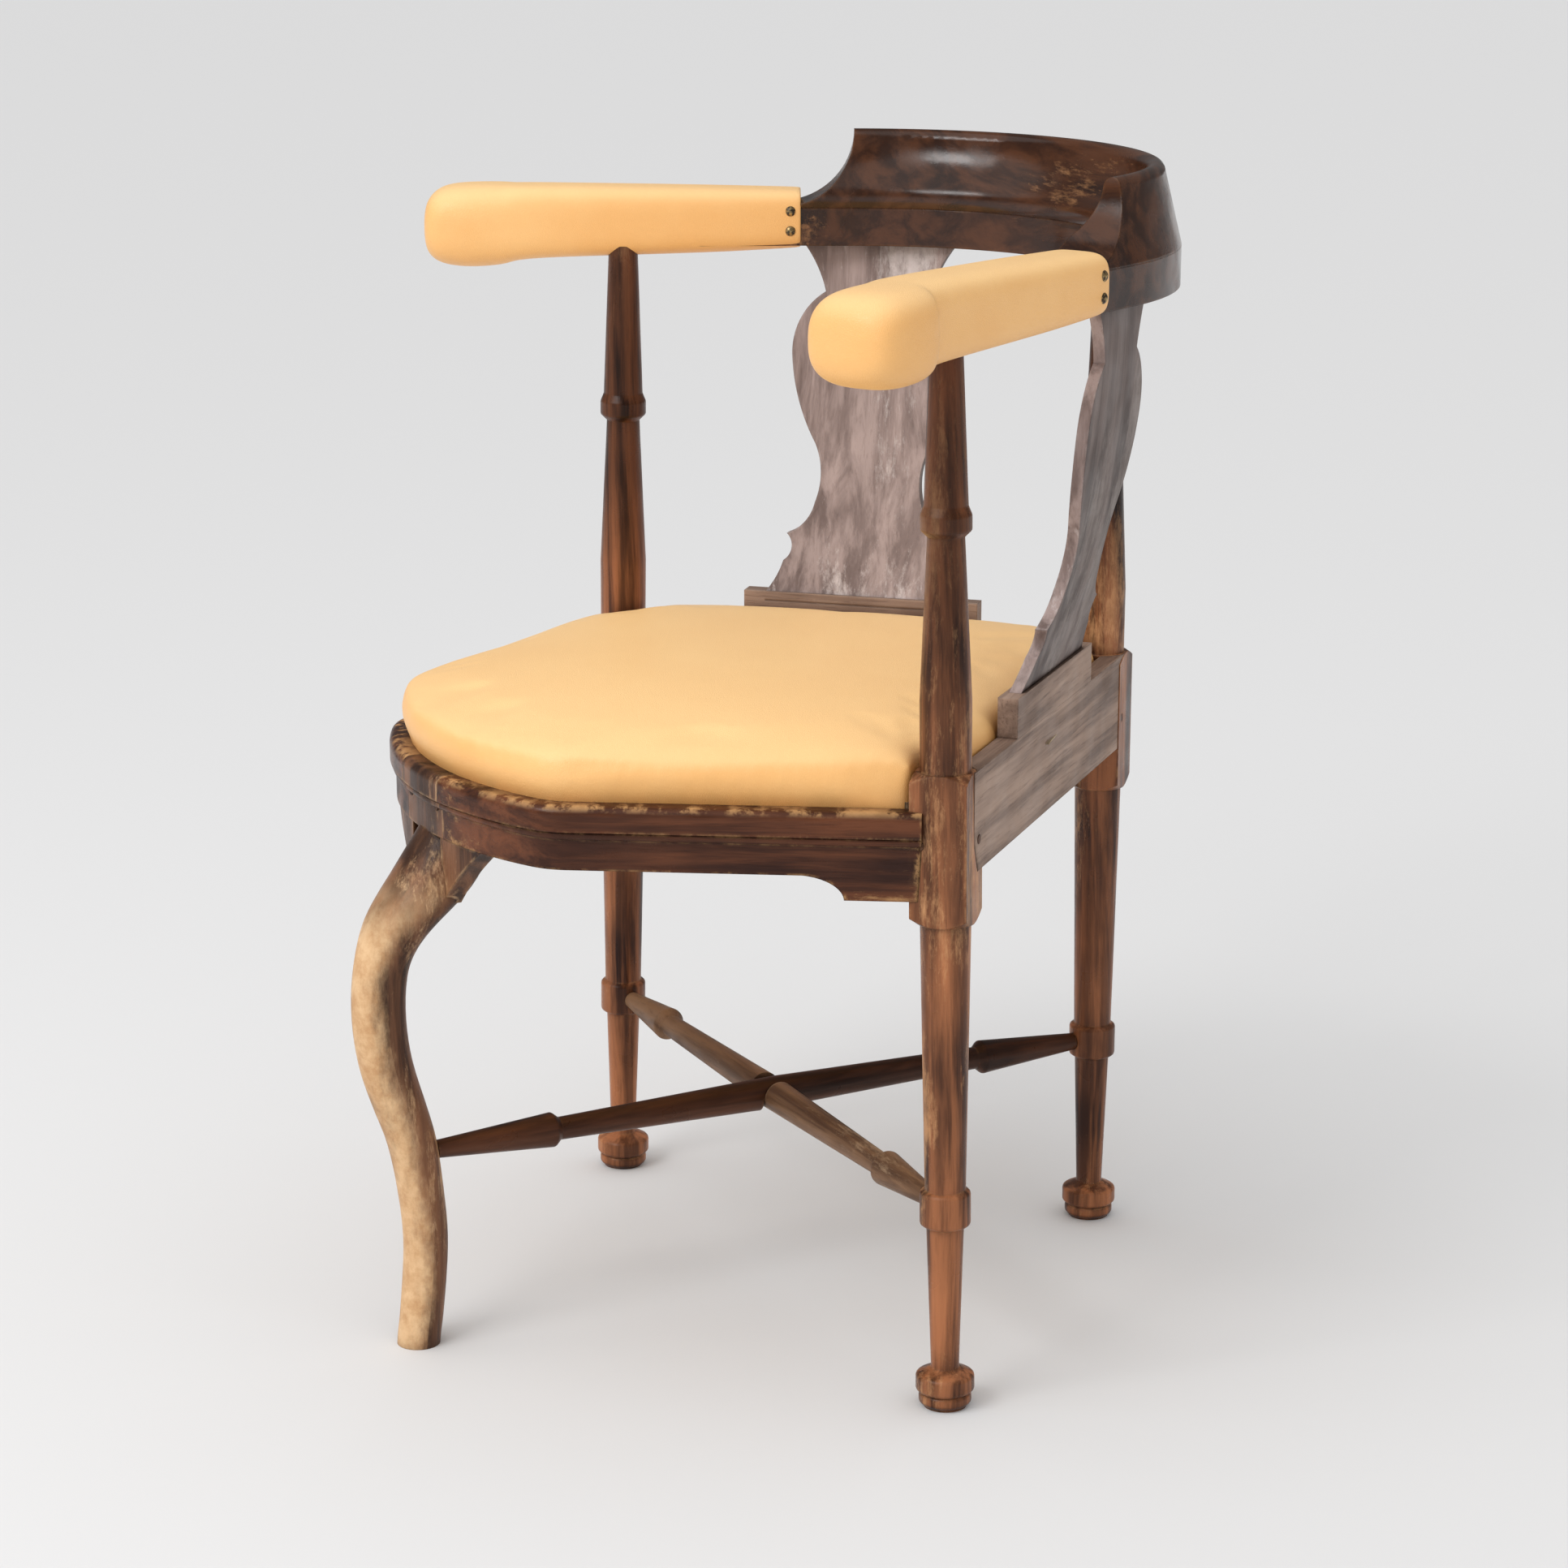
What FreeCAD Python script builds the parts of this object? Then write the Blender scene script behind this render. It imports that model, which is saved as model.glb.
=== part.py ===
import FreeCAD, Part
import math
import os
import Sketcher
from FreeCAD import Placement, Rotation, Vector

# Corner chair: a square seat set cornerwise, one cabriole leg in front, three turned
# posts, a horseshoe arm rail with a raised crest, two vase splats and a drop-in seat.
# Millimetres, +Z up, the sitter faces -Y, the sitter's left is +X.
# Local positions are measured from the crossing of the stretchers, and centre_back
# moves that crossing so that the origin lies under the middle of the whole outline.

doc = FreeCAD.newDocument("corner_chair")
sheet = doc.addObject("Spreadsheet::Sheet", "Sizes")

SIZES = [
    ("centre_back", "10.7", "crossing of the stretchers behind the middle of the outline"),
    ("post_spread", "254", "side post axes at the floor, from the crossing"),
    ("post_reach", "265", "back post axis, from the crossing"),
    ("foot_reach", "272", "cabriole foot centre, from the crossing"),
    ("splay", "1.25", "lean of the side posts, degrees"),
    ("fit_gap", "0.15", "clearance of tenons and pins in their holes"),
    # turned posts
    ("pad_radius", "17.5", "foot pad"),
    ("pad_sole", "14.5", "foot pad where it stands on the floor"),
    ("pad_curl", "3.6", "height of the pad's narrowing to the floor"),
    ("pad_height", "8", "foot pad"),
    ("quirk_radius", "16.2", "groove between the pad and the ring"),
    ("quirk_level", "9.6", "groove between the pad and the ring"),
    ("ring_radius", "19.5", "foot ring"),
    ("ring_low", "12", "foot ring"),
    ("ring_high", "22", "foot ring"),
    ("ring_end", "27", "top of the foot ring"),
    ("ankle_radius", "9.3", "thinnest place of the lower leg"),
    ("calf_radius", "12.4", "leg under the collar"),
    ("collar_radius", "16.8", "collar that takes the stretcher"),
    ("collar_low", "125", "collar"),
    ("collar_high", "151", "collar"),
    ("collar_roll", "2", "slope of the collar ends"),
    ("turn_round", "2.4", "rounding of the rings, collars and knops"),
    ("thigh_radius", "13.5", "leg above the collar"),
    ("leg_top_radius", "16.6", "leg under the square block"),
    ("block_side", "38", "square block that takes the rails"),
    ("block_low", "332", "square block"),
    ("block_high", "432", "square block"),
    ("block_drop", "7", "turned-down corners of the block"),
    ("vase_radius", "16.8", "swelling of the column above the block"),
    ("vase_level", "478", "height of the swelling"),
    ("neck_radius", "12", "column under its ring"),
    ("knuckle_radius", "16.6", "ring of the column"),
    ("knuckle_low", "583", "ring of the column"),
    ("knuckle_funnel", "4.5", "slope under the ring of the column"),
    ("knuckle_high", "597", "ring of the column"),
    ("cone_radius", "14.2", "flare that stands on the ring"),
    ("cone_level", "603", "top of the flare's foot"),
    ("head_radius", "10.4", "column under the arm"),
    ("head_pin", "6.5", "round tenon in the arm"),
    ("head_pin_length", "17", "round tenon in the arm"),
    # seat rails
    ("rail_low", "365", "underside of the seat rails"),
    ("rail_drop", "349", "underside of the brackets at the posts"),
    ("rail_thick", "26", "seat rails"),
    ("ledge_level", "394", "ledge that carries the drop-in seat"),
    ("ledge_wall", "14", "wall left outside the ledge"),
    ("lip_low", "391", "moulded lip of the front rails"),
    ("lip_high", "408", "moulded lip of the front rails"),
    ("lip_proud", "4", "lip beyond the rail's face"),
    ("lip_round", "6", "rounding of the lip"),
    ("bead_low", "385.5", "bead under the lip"),
    ("bead_proud", "2.6", "bead beyond the rail's face"),
    ("bead_round", "2.2", "rounding of the bead"),
    ("tenon_thick", "8", "rail tenons"),
    ("tenon_length", "17", "rail tenons"),
    ("tenon_shoulder", "8", "shoulder above and below a rail tenon"),
    ("peg_radius", "3", "pegs through the rail joints"),
    ("peg_length", "20", "pegs through the rail joints"),
    # bowed front, seen from above
    ("front_reach", "263.8", "foremost point of the lip"),
    ("front_radius", "255.5", "bow of the front"),
    ("front_turn", "27.1", "half angle of the bow, degrees"),
    ("shoulder_radius", "51.3", "tight turn beside the bow"),
    ("rail_heading", "58.6", "direction of the straight stretch, degrees from X"),
    ("rail_straight", "227", "straight stretch up to the post's block"),
    ("drop_start", "212", "where the bracket at the post begins, from the middle"),
    ("drop_run", "14", "length of the bracket's slope"),
    ("corner_half", "30", "half width of the cabriole leg's corner block"),
    ("corner_deep", "54", "depth of the cabriole leg's corner block"),
    ("ear_reach", "71", "end of the knee brackets, from the middle"),
    ("ear_low", "318", "lowest point of the knee brackets"),
    ("ear_thick", "14", "knee brackets"),
    ("glue_block", "34", "legs of the corner blocks under the seat"),
    # stretchers
    ("stretcher_level", "138", "axis of both stretchers"),
    ("stretcher_middle", "11.5", "radius at the crossing"),
    ("stretcher_waist", "8", "radius inside the knops"),
    ("knop_radius", "12.2", "radius of the knops"),
    ("knop_place", "165", "knops, from the crossing"),
    ("knop_step", "5", "rounded step of the knop"),
    ("stretcher_end", "6.2", "radius where it meets the leg"),
    ("stretcher_pin", "5", "round tenon in the leg"),
    ("stretcher_pin_length", "11", "round tenon in the leg"),
    # horseshoe arm rail
    ("bow_radius", "201.4", "middle line of the arm rail at the back"),
    ("bow_centre", "65.7", "centre of that curve behind the crossing"),
    ("arm_splay", "27", "arms against the Y axis, degrees"),
    ("arm_low", "711", "underside of the arm rail"),
    ("arm_thick", "27", "arm rail"),
    ("arm_inner", "24", "arm rail inside its middle line"),
    ("arm_outer", "16", "arm rail outside its middle line"),
    ("arm_swell", "3.5", "extra width of the arm inside, round the post's tenon"),
    ("hand_start", "245", "where the hand widens, along the arm"),
    ("hand_end", "303", "end of the wooden hand"),
    ("hand_outer", "29", "wooden hand outside the middle line"),
    ("hand_round", "20", "corners of the wooden hand"),
    # crest
    ("crest_high", "793", "top of the crest"),
    ("crest_belly", "27", "swelling of the inner face from the middle line"),
    ("crest_shelf", "756", "level where the inner face starts to hollow"),
    ("crest_top_inner", "9", "top edge inside the middle line"),
    ("crest_top_outer", "4", "top edge outside the middle line"),
    ("crest_top_round", "6", "height of the rounded top edge"),
    ("ramp_length", "39", "ramp from the crest's top to the arm"),
    ("ramp_foot", "3", "height of the ramp's thin end"),
    ("screw_radius", "2.2", "screws from the arm rail up into the crest"),
    ("screw_head", "4.4", "screw heads"),
    ("screw_length", "46", "screws from the arm rail up into the crest"),
    # splats and shoes
    ("shoe_length", "176", "shoe under a splat"),
    ("shoe_high", "459", "top of the shoes"),
    ("splat_thick", "8", "splats"),
    ("splat_foot", "12", "splat outside the post axes' line at the shoe"),
    ("splat_head", "56", "splat outside the post axes' line at the arm"),
    ("splat_tongue", "7", "depth of the splat in the shoe and in the arm"),
    # arm upholstery
    ("hide_thick", "1.6", "leather"),
    ("pad_inner", "29", "padded arm inside the middle line"),
    ("pad_outer", "24", "padded arm outside the middle line"),
    ("pad_low", "703", "underside of the padded arm at the post"),
    ("pad_high", "753", "top of the padded arm"),
    ("pad_top_round", "16", "upper edges of the padded arm"),
    ("pad_low_round", "7", "lower edges of the padded arm"),
    ("grip_outer", "38", "padded hand outside the middle line"),
    ("grip_low", "698", "underside of the padded hand"),
    ("grip_end", "311", "end of the padded hand"),
    ("nail_radius", "4.2", "dome nails at the leather's edge"),
    ("nail_shank", "1", "nail shanks"),
    ("nail_inset", "7", "nails from the leather's edge"),
    # drop-in seat
    ("seat_gap", "0.6", "leather of the seat to the rails"),
    ("bar_thick", "16", "bars of the drop-in frame"),
    ("bar_share", "0.74", "opening of the drop-in frame against its outline"),
    ("web_width", "46", "webbing straps"),
    ("web_thick", "1.2", "webbing straps"),
    ("cloth_thick", "0.8", "hessian over the webbing"),
    ("roll_high", "424", "widest level of the cushion above the lip"),
    ("roll_over", "7", "cushion over the lip, beyond the ledge wall"),
    ("edge_high", "442", "top of the cushion's rolled edge"),
    ("crown_high", "459", "top of the crown"),
    ("tack_radius", "3", "tacks under the drop-in seat"),
]
ROW = {}
for row, (alias, text, note) in enumerate(SIZES, start=1):
    sheet.set("A%d" % row, note)
    sheet.set("B%d" % row, text)
    sheet.setAlias("B%d" % row, alias)
    ROW[alias] = row
doc.recompute()


def size(alias):
    return float(sheet.get(alias))


def derived(alias, formula, note):
    row = len(ROW) + 1
    sheet.set("A%d" % row, note)
    sheet.set("B%d" % row, "=" + formula)
    sheet.setAlias("B%d" % row, alias)
    ROW[alias] = row


derived("block_half", "block_side / 2", "half of the square block")
derived("block_corner", "block_side / sqrt(2)", "corner of the square block from its axis")
derived("below_floor", "-20", "posts reach below the floor before they are cut level")
derived("floor_line", "0.5", "straight foot of the profile, cut off level with the floor")
derived("pin_top", "arm_low + head_pin_length", "top of the posts' round tenon")
derived("groove_side", "block_corner + 2", "outside of the cut that turns the corners down")
derived("block_low_turned", "block_low + block_drop", "square part begins")
derived("block_high_turned", "block_high - block_drop", "square part ends")
derived("collar_low_flat", "collar_low + collar_roll", "collar's full width begins")
derived("collar_high_flat", "collar_high - collar_roll", "collar's full width ends")
derived("knuckle_flat", "knuckle_low + knuckle_funnel", "full width of the column's ring begins")
derived("knop_back", "knop_place + knop_step", "knop's full width ends")
derived("knop_other_back", "-knop_back", "the same on the other side of the crossing")
doc.recompute()

SHIFT = Vector(0, size("centre_back"), 0)
UP = Vector(0, 0, 1)
nodes = []


def placed(obj, base=Vector(0, 0, 0), turn=None):
    obj.Placement = Placement(base + SHIFT, turn or Rotation())
    return obj


def node(obj, label):
    obj.Label = label
    nodes.append(obj)
    return obj


def feature(name, shape):
    obj = doc.addObject("Part::Feature", name)
    obj.Shape = shape
    return placed(obj)


def joined(name, parts):
    obj = doc.addObject("Part::MultiFuse", name)
    obj.Shapes = parts
    obj.Refine = True
    return obj


def less(name, base, tools):
    obj = doc.addObject("Part::Cut", name)
    obj.Base = base
    obj.Tool = tools[0] if len(tools) == 1 else joined(name + "_tools", tools)
    obj.Refine = True
    return obj


def shared(name, first, second):
    obj = doc.addObject("Part::Common", name)
    obj.Base = first
    obj.Tool = second
    obj.Refine = True
    return obj


def box(name, sizes, base, turn=None):
    obj = doc.addObject("Part::Box", name)
    obj.Length, obj.Width, obj.Height = sizes
    return placed(obj, base, turn)


def origin_plane(body, role):
    return next(item for item in body.Origin.OriginFeatures if item.Role == role)


def new_sketch(body, role, name):
    sketch = body.newObject("Sketcher::SketchObject", name)
    sketch.AttachmentSupport = (origin_plane(body, role), [""])
    sketch.MapMode = "FlatFace"
    return sketch


def outline(sketch, corners):
    # corners are pairs of sheet names; None stands for zero, a leading - for the other side
    def number(entry):
        if entry is None:
            return 0.0
        return -size(entry[1:]) if entry.startswith("-") else size(entry)

    def text(entry):
        return "-Sizes." + entry[1:] if entry.startswith("-") else "Sizes." + entry

    places = [Vector(number(across), number(along), 0) for across, along in corners]
    count = len(places)
    for index in range(count):
        sketch.addGeometry(Part.LineSegment(places[index], places[(index + 1) % count]), False)
    for index in range(count):
        sketch.addConstraint(Sketcher.Constraint("Coincident", index, 2, (index + 1) % count, 1))
    for index, (across, along) in enumerate(corners):
        for kind, entry, axis in (("DistanceX", across, -2), ("DistanceY", along, -1)):
            if entry is None:
                sketch.addConstraint(Sketcher.Constraint("PointOnObject", index, 1, axis))
            else:
                place = sketch.addConstraint(
                    Sketcher.Constraint(kind, -1, 1, index, 1, number(entry)))
                sketch.setExpression("Constraints[%d]" % place, text(entry))
    return sketch


def revolve(body, sketch, kind="PartDesign::Revolution"):
    turned = body.newObject(kind, sketch.Name + "_turned")
    turned.Profile = sketch
    turned.ReferenceAxis = (sketch, ["V_Axis"])
    turned.Angle = 360
    return turned


def rounded_turning(body, turned, places):
    # rounds the full circles whose radius and level are named in the sheet
    wanted = [(size(radius), size(high)) for radius, high in places]
    names = []
    for index, edge in enumerate(turned.Shape.Edges):
        if not isinstance(edge.Curve, Part.Circle):
            continue
        centre = edge.Curve.Center
        for radius, high in wanted:
            if abs(edge.Curve.Radius - radius) < 0.01 and abs(centre.z - high) < 0.01:
                names.append("Edge%d" % (index + 1))
    fillet = body.newObject("PartDesign::Fillet", turned.Name + "_rounded")
    fillet.Base = (turned, names)
    fillet.setExpression("Radius", "Sizes.turn_round")
    return fillet


# Turned post: pad foot, collar for the stretcher, square block for the rails,
# vase-shaped column with a ring, and a round tenon for the arm.
def post_turning(name, base, lean):
    body = doc.addObject("PartDesign::Body", name)
    profile = outline(new_sketch(body, "XZ_Plane", name + "_profile"), [
        (None, "below_floor"), ("pad_sole", "below_floor"), ("pad_sole", "floor_line"),
        ("pad_radius", "pad_curl"), ("pad_radius", "pad_height"), ("quirk_radius", "quirk_level"),
        ("ring_radius", "ring_low"), ("ring_radius", "ring_high"),
        ("ankle_radius", "ring_end"), ("calf_radius", "collar_low"),
        ("collar_radius", "collar_low_flat"), ("collar_radius", "collar_high_flat"),
        ("thigh_radius", "collar_high"), ("leg_top_radius", "block_low"),
        ("leg_top_radius", "block_high"), ("vase_radius", "vase_level"),
        ("neck_radius", "knuckle_low"), ("knuckle_radius", "knuckle_flat"),
        ("knuckle_radius", "knuckle_high"), ("cone_radius", "cone_level"),
        ("head_radius", "arm_low"), ("head_pin", "arm_low"), ("head_pin", "pin_top"),
        (None, "pin_top"),
    ])
    turned = revolve(body, profile)
    doc.recompute()
    rounded_turning(body, turned, [
        ("pad_radius", "pad_curl"), ("pad_radius", "pad_height"),
        ("ring_radius", "ring_low"), ("ring_radius", "ring_high"),
        ("collar_radius", "collar_low_flat"), ("collar_radius", "collar_high_flat"),
        ("knuckle_radius", "knuckle_flat"), ("knuckle_radius", "knuckle_high"),
    ])
    square = new_sketch(body, "XY_Plane", name + "_block")
    outline(square, [("block_corner", None), (None, "block_corner"),
                     ("-block_corner", None), (None, "-block_corner")])
    square.setExpression("AttachmentOffset.Base.z", "Sizes.block_low")
    block = body.newObject("PartDesign::Pad", name + "_block_pad")
    block.Profile = square
    block.setExpression("Length", "Sizes.block_high - Sizes.block_low")
    doc.recompute()
    full = block.Shape.Volume
    corners = new_sketch(body, "XZ_Plane", name + "_corners")
    outline(corners, [("block_half", "block_high"), ("groove_side", "block_high"),
                      ("groove_side", "block_high_turned")])
    revolve(body, corners, "PartDesign::Groove")
    lower = new_sketch(body, "XZ_Plane", name + "_lower_corners")
    outline(lower, [("block_half", "block_low"), ("groove_side", "block_low"),
                    ("groove_side", "block_low_turned")])
    cut = revolve(body, lower, "PartDesign::Groove")
    body.Tip = cut
    doc.recompute()
    if cut.Shape.Volume > full - 100:
        raise RuntimeError("the block's corners weren't turned down on " + name)
    return placed(body, base, Rotation(Vector(0, 1, 0), lean))


spread, reach, splay = size("post_spread"), size("post_reach"), size("splay")
lean_rate = math.tan(math.radians(splay))
left_turning = post_turning("left_turning", Vector(spread, 0, 0), -splay)
right_turning = post_turning("right_turning", Vector(-spread, 0, 0), splay)
back_turning = post_turning("back_turning", Vector(0, reach, 0), 0)

# Where the rails meet the posts, halfway up the blocks.
block_middle = (size("block_low") + size("block_high")) / 2
side_post = Vector(spread - block_middle * lean_rate, 0, 0)
back_post_axis = Vector(0, reach, 0)
run = (back_post_axis - side_post).normalize()
outward = Vector(run.y, -run.x, 0)
side_length = (back_post_axis - side_post).Length
half = size("block_half")


def mirrored(point):
    return Vector(-point.x, point.y, point.z)


def side_box(name, left, along, inside, low, sizes):
    # a box along a back rail: distance along it, depth in from the block's face, level
    if left:
        base = side_post + outward * (half - inside) + run * along
        turn = Rotation(run, -outward, UP, "XYZ")
    else:
        base = mirrored(side_post + outward * (half - inside - sizes[1]) + run * along)
        turn = Rotation(mirrored(run), mirrored(outward), UP, "XYZ")
    return box(name, sizes, base + UP * low, turn)


tenon_long, tenon_thick = size("tenon_length"), size("tenon_thick")
shoulder, gap = size("tenon_shoulder"), size("fit_gap")
rail_low, rail_high, ledge = size("rail_low"), size("block_high"), size("ledge_level")
wall, rail_thick = size("ledge_wall"), size("rail_thick")
tenon_in = (wall - tenon_thick) / 2


def back_tenon(name, left, at_back, grow):
    # the tenon starts half a shoulder inside the rail, so that it fuses with it
    length = tenon_long + half / 2 + grow
    start = half - tenon_long - grow
    if at_back:
        start = side_length - half + tenon_long + grow - length
    low, high = rail_low + shoulder - grow, rail_high - shoulder + grow
    return side_box(name, left, start, tenon_in - grow, low,
                    (length, tenon_thick + 2 * grow, high - low))


# Bowed front: one outline from post to post, offset inwards by any distance.
front_reach, front_radius = size("front_reach"), size("front_radius")
front_turn = math.radians(size("front_turn"))
shoulder_radius, heading = size("shoulder_radius"), math.radians(size("rail_heading"))
straight = size("rail_straight")
bow_middle = Vector(0, front_radius - front_reach, 0)


def polar(middle, radius, angle):
    return middle + Vector(math.sin(angle), -math.cos(angle), 0) * radius


turn_middle = polar(bow_middle, front_radius - shoulder_radius, front_turn)


def front_edges(inset, level, beyond=0.0):
    # from the left post round the front to the right post
    along = Vector(math.cos(heading), math.sin(heading), 0)
    lift = UP * level
    turn_end = polar(turn_middle, shoulder_radius - inset, heading)
    end = turn_end + along * (straight + beyond)
    turn_half = polar(turn_middle, shoulder_radius - inset, (heading + front_turn) / 2)
    bow_end = polar(bow_middle, front_radius - inset, front_turn)
    bow_top = polar(bow_middle, front_radius - inset, 0)
    return [
        Part.LineSegment(end + lift, turn_end + lift).toShape(),
        Part.Arc(turn_end + lift, turn_half + lift, bow_end + lift).toShape(),
        Part.Arc(bow_end + lift, bow_top + lift, mirrored(bow_end) + lift).toShape(),
        Part.Arc(mirrored(bow_end) + lift, mirrored(turn_half) + lift,
                 mirrored(turn_end) + lift).toShape(),
        Part.LineSegment(mirrored(turn_end) + lift, mirrored(end) + lift).toShape(),
    ]


def front_band(outer, inner, low, high):
    first, second = front_edges(outer, low), front_edges(inner, low)
    ends = [Part.LineSegment(first[-1].Vertexes[-1].Point, second[-1].Vertexes[-1].Point),
            Part.LineSegment(second[0].Vertexes[0].Point, first[0].Vertexes[0].Point)]
    wire = Part.Wire(first + [ends[0].toShape()] + [edge.reversed() for edge in second[::-1]]
                     + [ends[1].toShape()])
    return Part.Face(wire).extrude(UP * (high - low))


def front_frame():
    proud, drop = size("lip_proud"), size("rail_drop")
    lip_low, lip_high, lip_round = size("lip_low"), size("lip_high"), size("lip_round")
    lower = front_band(proud, proud + rail_thick, drop, ledge)
    lip = front_band(0, wall, lip_low, lip_high)
    lip = lip.makeFillet(lip_round, edges_at(lip, 0, lip_high))
    bead_low, bead_out = size("bead_low"), proud - size("bead_proud")
    bead = front_band(bead_out, wall, bead_low, lip_low)
    bead = bead.makeFillet(size("bead_round"), edges_at(bead, bead_out, bead_low)
                           + edges_at(bead, bead_out, lip_low))
    start, slope = size("drop_start"), size("drop_run")
    deep = rail_low - drop
    corner = Vector(start, 0, rail_low)
    foot = Vector(start + slope, 0, drop)
    middle = (corner + foot) * 0.5 + Vector(slope, 0, deep) * 0.18
    under = drop - 5
    reach_y = Vector(0, -2 * front_reach, 0)
    path = [
        Part.LineSegment(mirrored(corner), corner).toShape(),
        Part.Arc(corner, middle, foot).toShape(),
        Part.LineSegment(foot, Vector(foot.x, 0, under)).toShape(),
        Part.LineSegment(Vector(foot.x, 0, under), Vector(-foot.x, 0, under)).toShape(),
        Part.LineSegment(Vector(-foot.x, 0, under), mirrored(foot)).toShape(),
        Part.Arc(mirrored(foot), mirrored(middle), mirrored(corner)).toShape(),
    ]
    cutter = Part.Face(Part.Wire(path)).extrude(reach_y)
    return lower.cut(cutter).fuse([lip, bead]).removeSplitter()


def edges_at(shape, inset, level_here):
    # the edges of a band that run round the front at this inset and level
    return [edge for edge in shape.Edges
            if min(vertex.Z for vertex in edge.Vertexes) > level_here - 0.01
            and max(vertex.Z for vertex in edge.Vertexes) < level_here + 0.01
            and abs(edge_inset(edge) - inset) < 0.01]


def edge_inset(edge):
    # distance of an edge's middle from the outermost outline of the front
    point = edge.valueAt((edge.FirstParameter + edge.LastParameter) / 2)
    flat = Part.Vertex(Vector(point.x, point.y, 0))
    return min(flat.distToShape(item)[0] for item in front_edges(0, 0))


corner_half = size("corner_half")
tall, wide = 900.0, 900.0
front = feature("front_frame", front_frame())
posts = joined("post_turnings", [left_turning, right_turning, back_turning])


def halfspace(name, left):
    start = corner_half if left else -corner_half - wide
    return box(name, (wide, 2 * wide, tall), Vector(start, -wide, 0))


def front_tenon(name, left, grow):
    # into the cabriole leg's corner block, across the bow's middle
    length = tenon_long + corner_half / 2 + grow
    start = corner_half - tenon_long - grow
    base_y = -front_reach + size("lip_proud") + tenon_in - grow + 3
    low, high = rail_low + 4 - grow, ledge - 4 + grow
    side = 1 if left else -1
    base = Vector(start if left else -start - length, base_y, low)
    return box(name, (length, tenon_thick + 2 * grow, high - low), base)


def post_tenon(name, left, grow):
    # from the straight end of a front rail into the side post's block
    along = Vector(math.cos(heading), math.sin(heading), 0)
    inward = Vector(-along.y, along.x, 0)
    turn_end = polar(turn_middle, shoulder_radius, heading)
    length = tenon_long + 18 + grow
    base = turn_end + along * (straight - 26) + inward * (size("lip_proud") + tenon_in + 2 - grow)
    low, high = rail_low + shoulder / 2 - grow, ledge - shoulder / 2 + grow
    sizes = (length, tenon_thick + 2 * grow, high - low)
    if left:
        return box(name, sizes, base + UP * low, Rotation(along, inward, UP, "XYZ"))
    base = mirrored(base + along * length)
    return box(name, sizes, base + UP * low, Rotation(mirrored(-along), mirrored(inward), UP, "XYZ"))


def make_front_rail(left):
    side = "left" if left else "right"
    blank = shared(side + "_front_blank", front, halfspace(side + "_front_half", left))
    shouldered = less(side + "_front_shouldered", blank, [posts])
    tenons = [front_tenon(side + "_front_tenon", left, 0), post_tenon(side + "_post_tenon", left, 0)]
    return joined(side + "_front_tenoned", [shouldered] + tenons)


def make_back_rail(left):
    side = "left" if left else "right"
    high = rail_high - rail_low
    blank = side_box(side + "_back_blank", left, 0, 0, rail_low, (side_length, rail_thick, high))
    rebate = side_box(side + "_back_rebate", left, -5, wall, ledge,
                      (side_length + 10, rail_thick, high))
    shouldered = less(side + "_back_shouldered", blank, [rebate, posts])
    tenons = [back_tenon(side + "_back_tenon_a", left, False, 0),
              back_tenon(side + "_back_tenon_b", left, True, 0)]
    return joined(side + "_back_tenoned", [shouldered] + tenons)


rail_blanks = []
for is_left in (True, False):
    side = "left" if is_left else "right"
    rail_blanks.append(("front_" + side + "_rail", make_front_rail(is_left)))
    rail_blanks.append(("back_" + side + "_rail", make_back_rail(is_left)))

# Cabriole leg: a round foot, a thin ankle that swings back and a knee that swells
# forward under the corner block of the seat. Each place is level, reach, radius.
SWINGS = (
    (0, 272, 14.8), (40, 267.4, 15.1), (78, 265.3, 15.3), (120, 269.2, 15.9), (150, 274.5, 17),
    (175, 282.3, 18.1), (199, 289.5, 18.3), (223, 293.9, 18.2), (251, 295, 18.3), (274, 292, 18.9),
    (290, 285.8, 21.5), (306, 275, 26), (322, 261, 29.5), (340, 248, 29.5), (366, 236, 24.5),
)
SWING_STEPS = 24


def swing_at(high):
    # smooth value between the measured places, by a cubic through the neighbours
    last = len(SWINGS) - 1
    index = max(i for i in range(last) if SWINGS[i][0] <= high)
    values = []
    low_place, high_place = SWINGS[index], SWINGS[index + 1]
    span = high_place[0] - low_place[0]
    part = (high - low_place[0]) / span
    for column in (1, 2):
        before, after = SWINGS[max(index - 1, 0)], SWINGS[min(index + 2, last)]
        first_slope = (high_place[column] - before[column]) / (high_place[0] - before[0])
        second_slope = (after[column] - low_place[column]) / (after[0] - low_place[0])
        square, cube = part ** 2, part ** 3
        values.append((2 * cube - 3 * square + 1) * low_place[column]
                      + (cube - 2 * square + part) * span * first_slope
                      + (3 * square - 2 * cube) * high_place[column]
                      + (cube - square) * span * second_slope)
    return values


def cabriole():
    rings = []
    for step in range(SWING_STEPS + 1):
        high = SWINGS[-1][0] * step / SWING_STEPS
        reach_out, thick = swing_at(high)
        rings.append(Part.Wire(Part.Circle(Vector(0, -reach_out, high), UP, thick).toShape()))
    return Part.makeLoft(rings, True, False)


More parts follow.
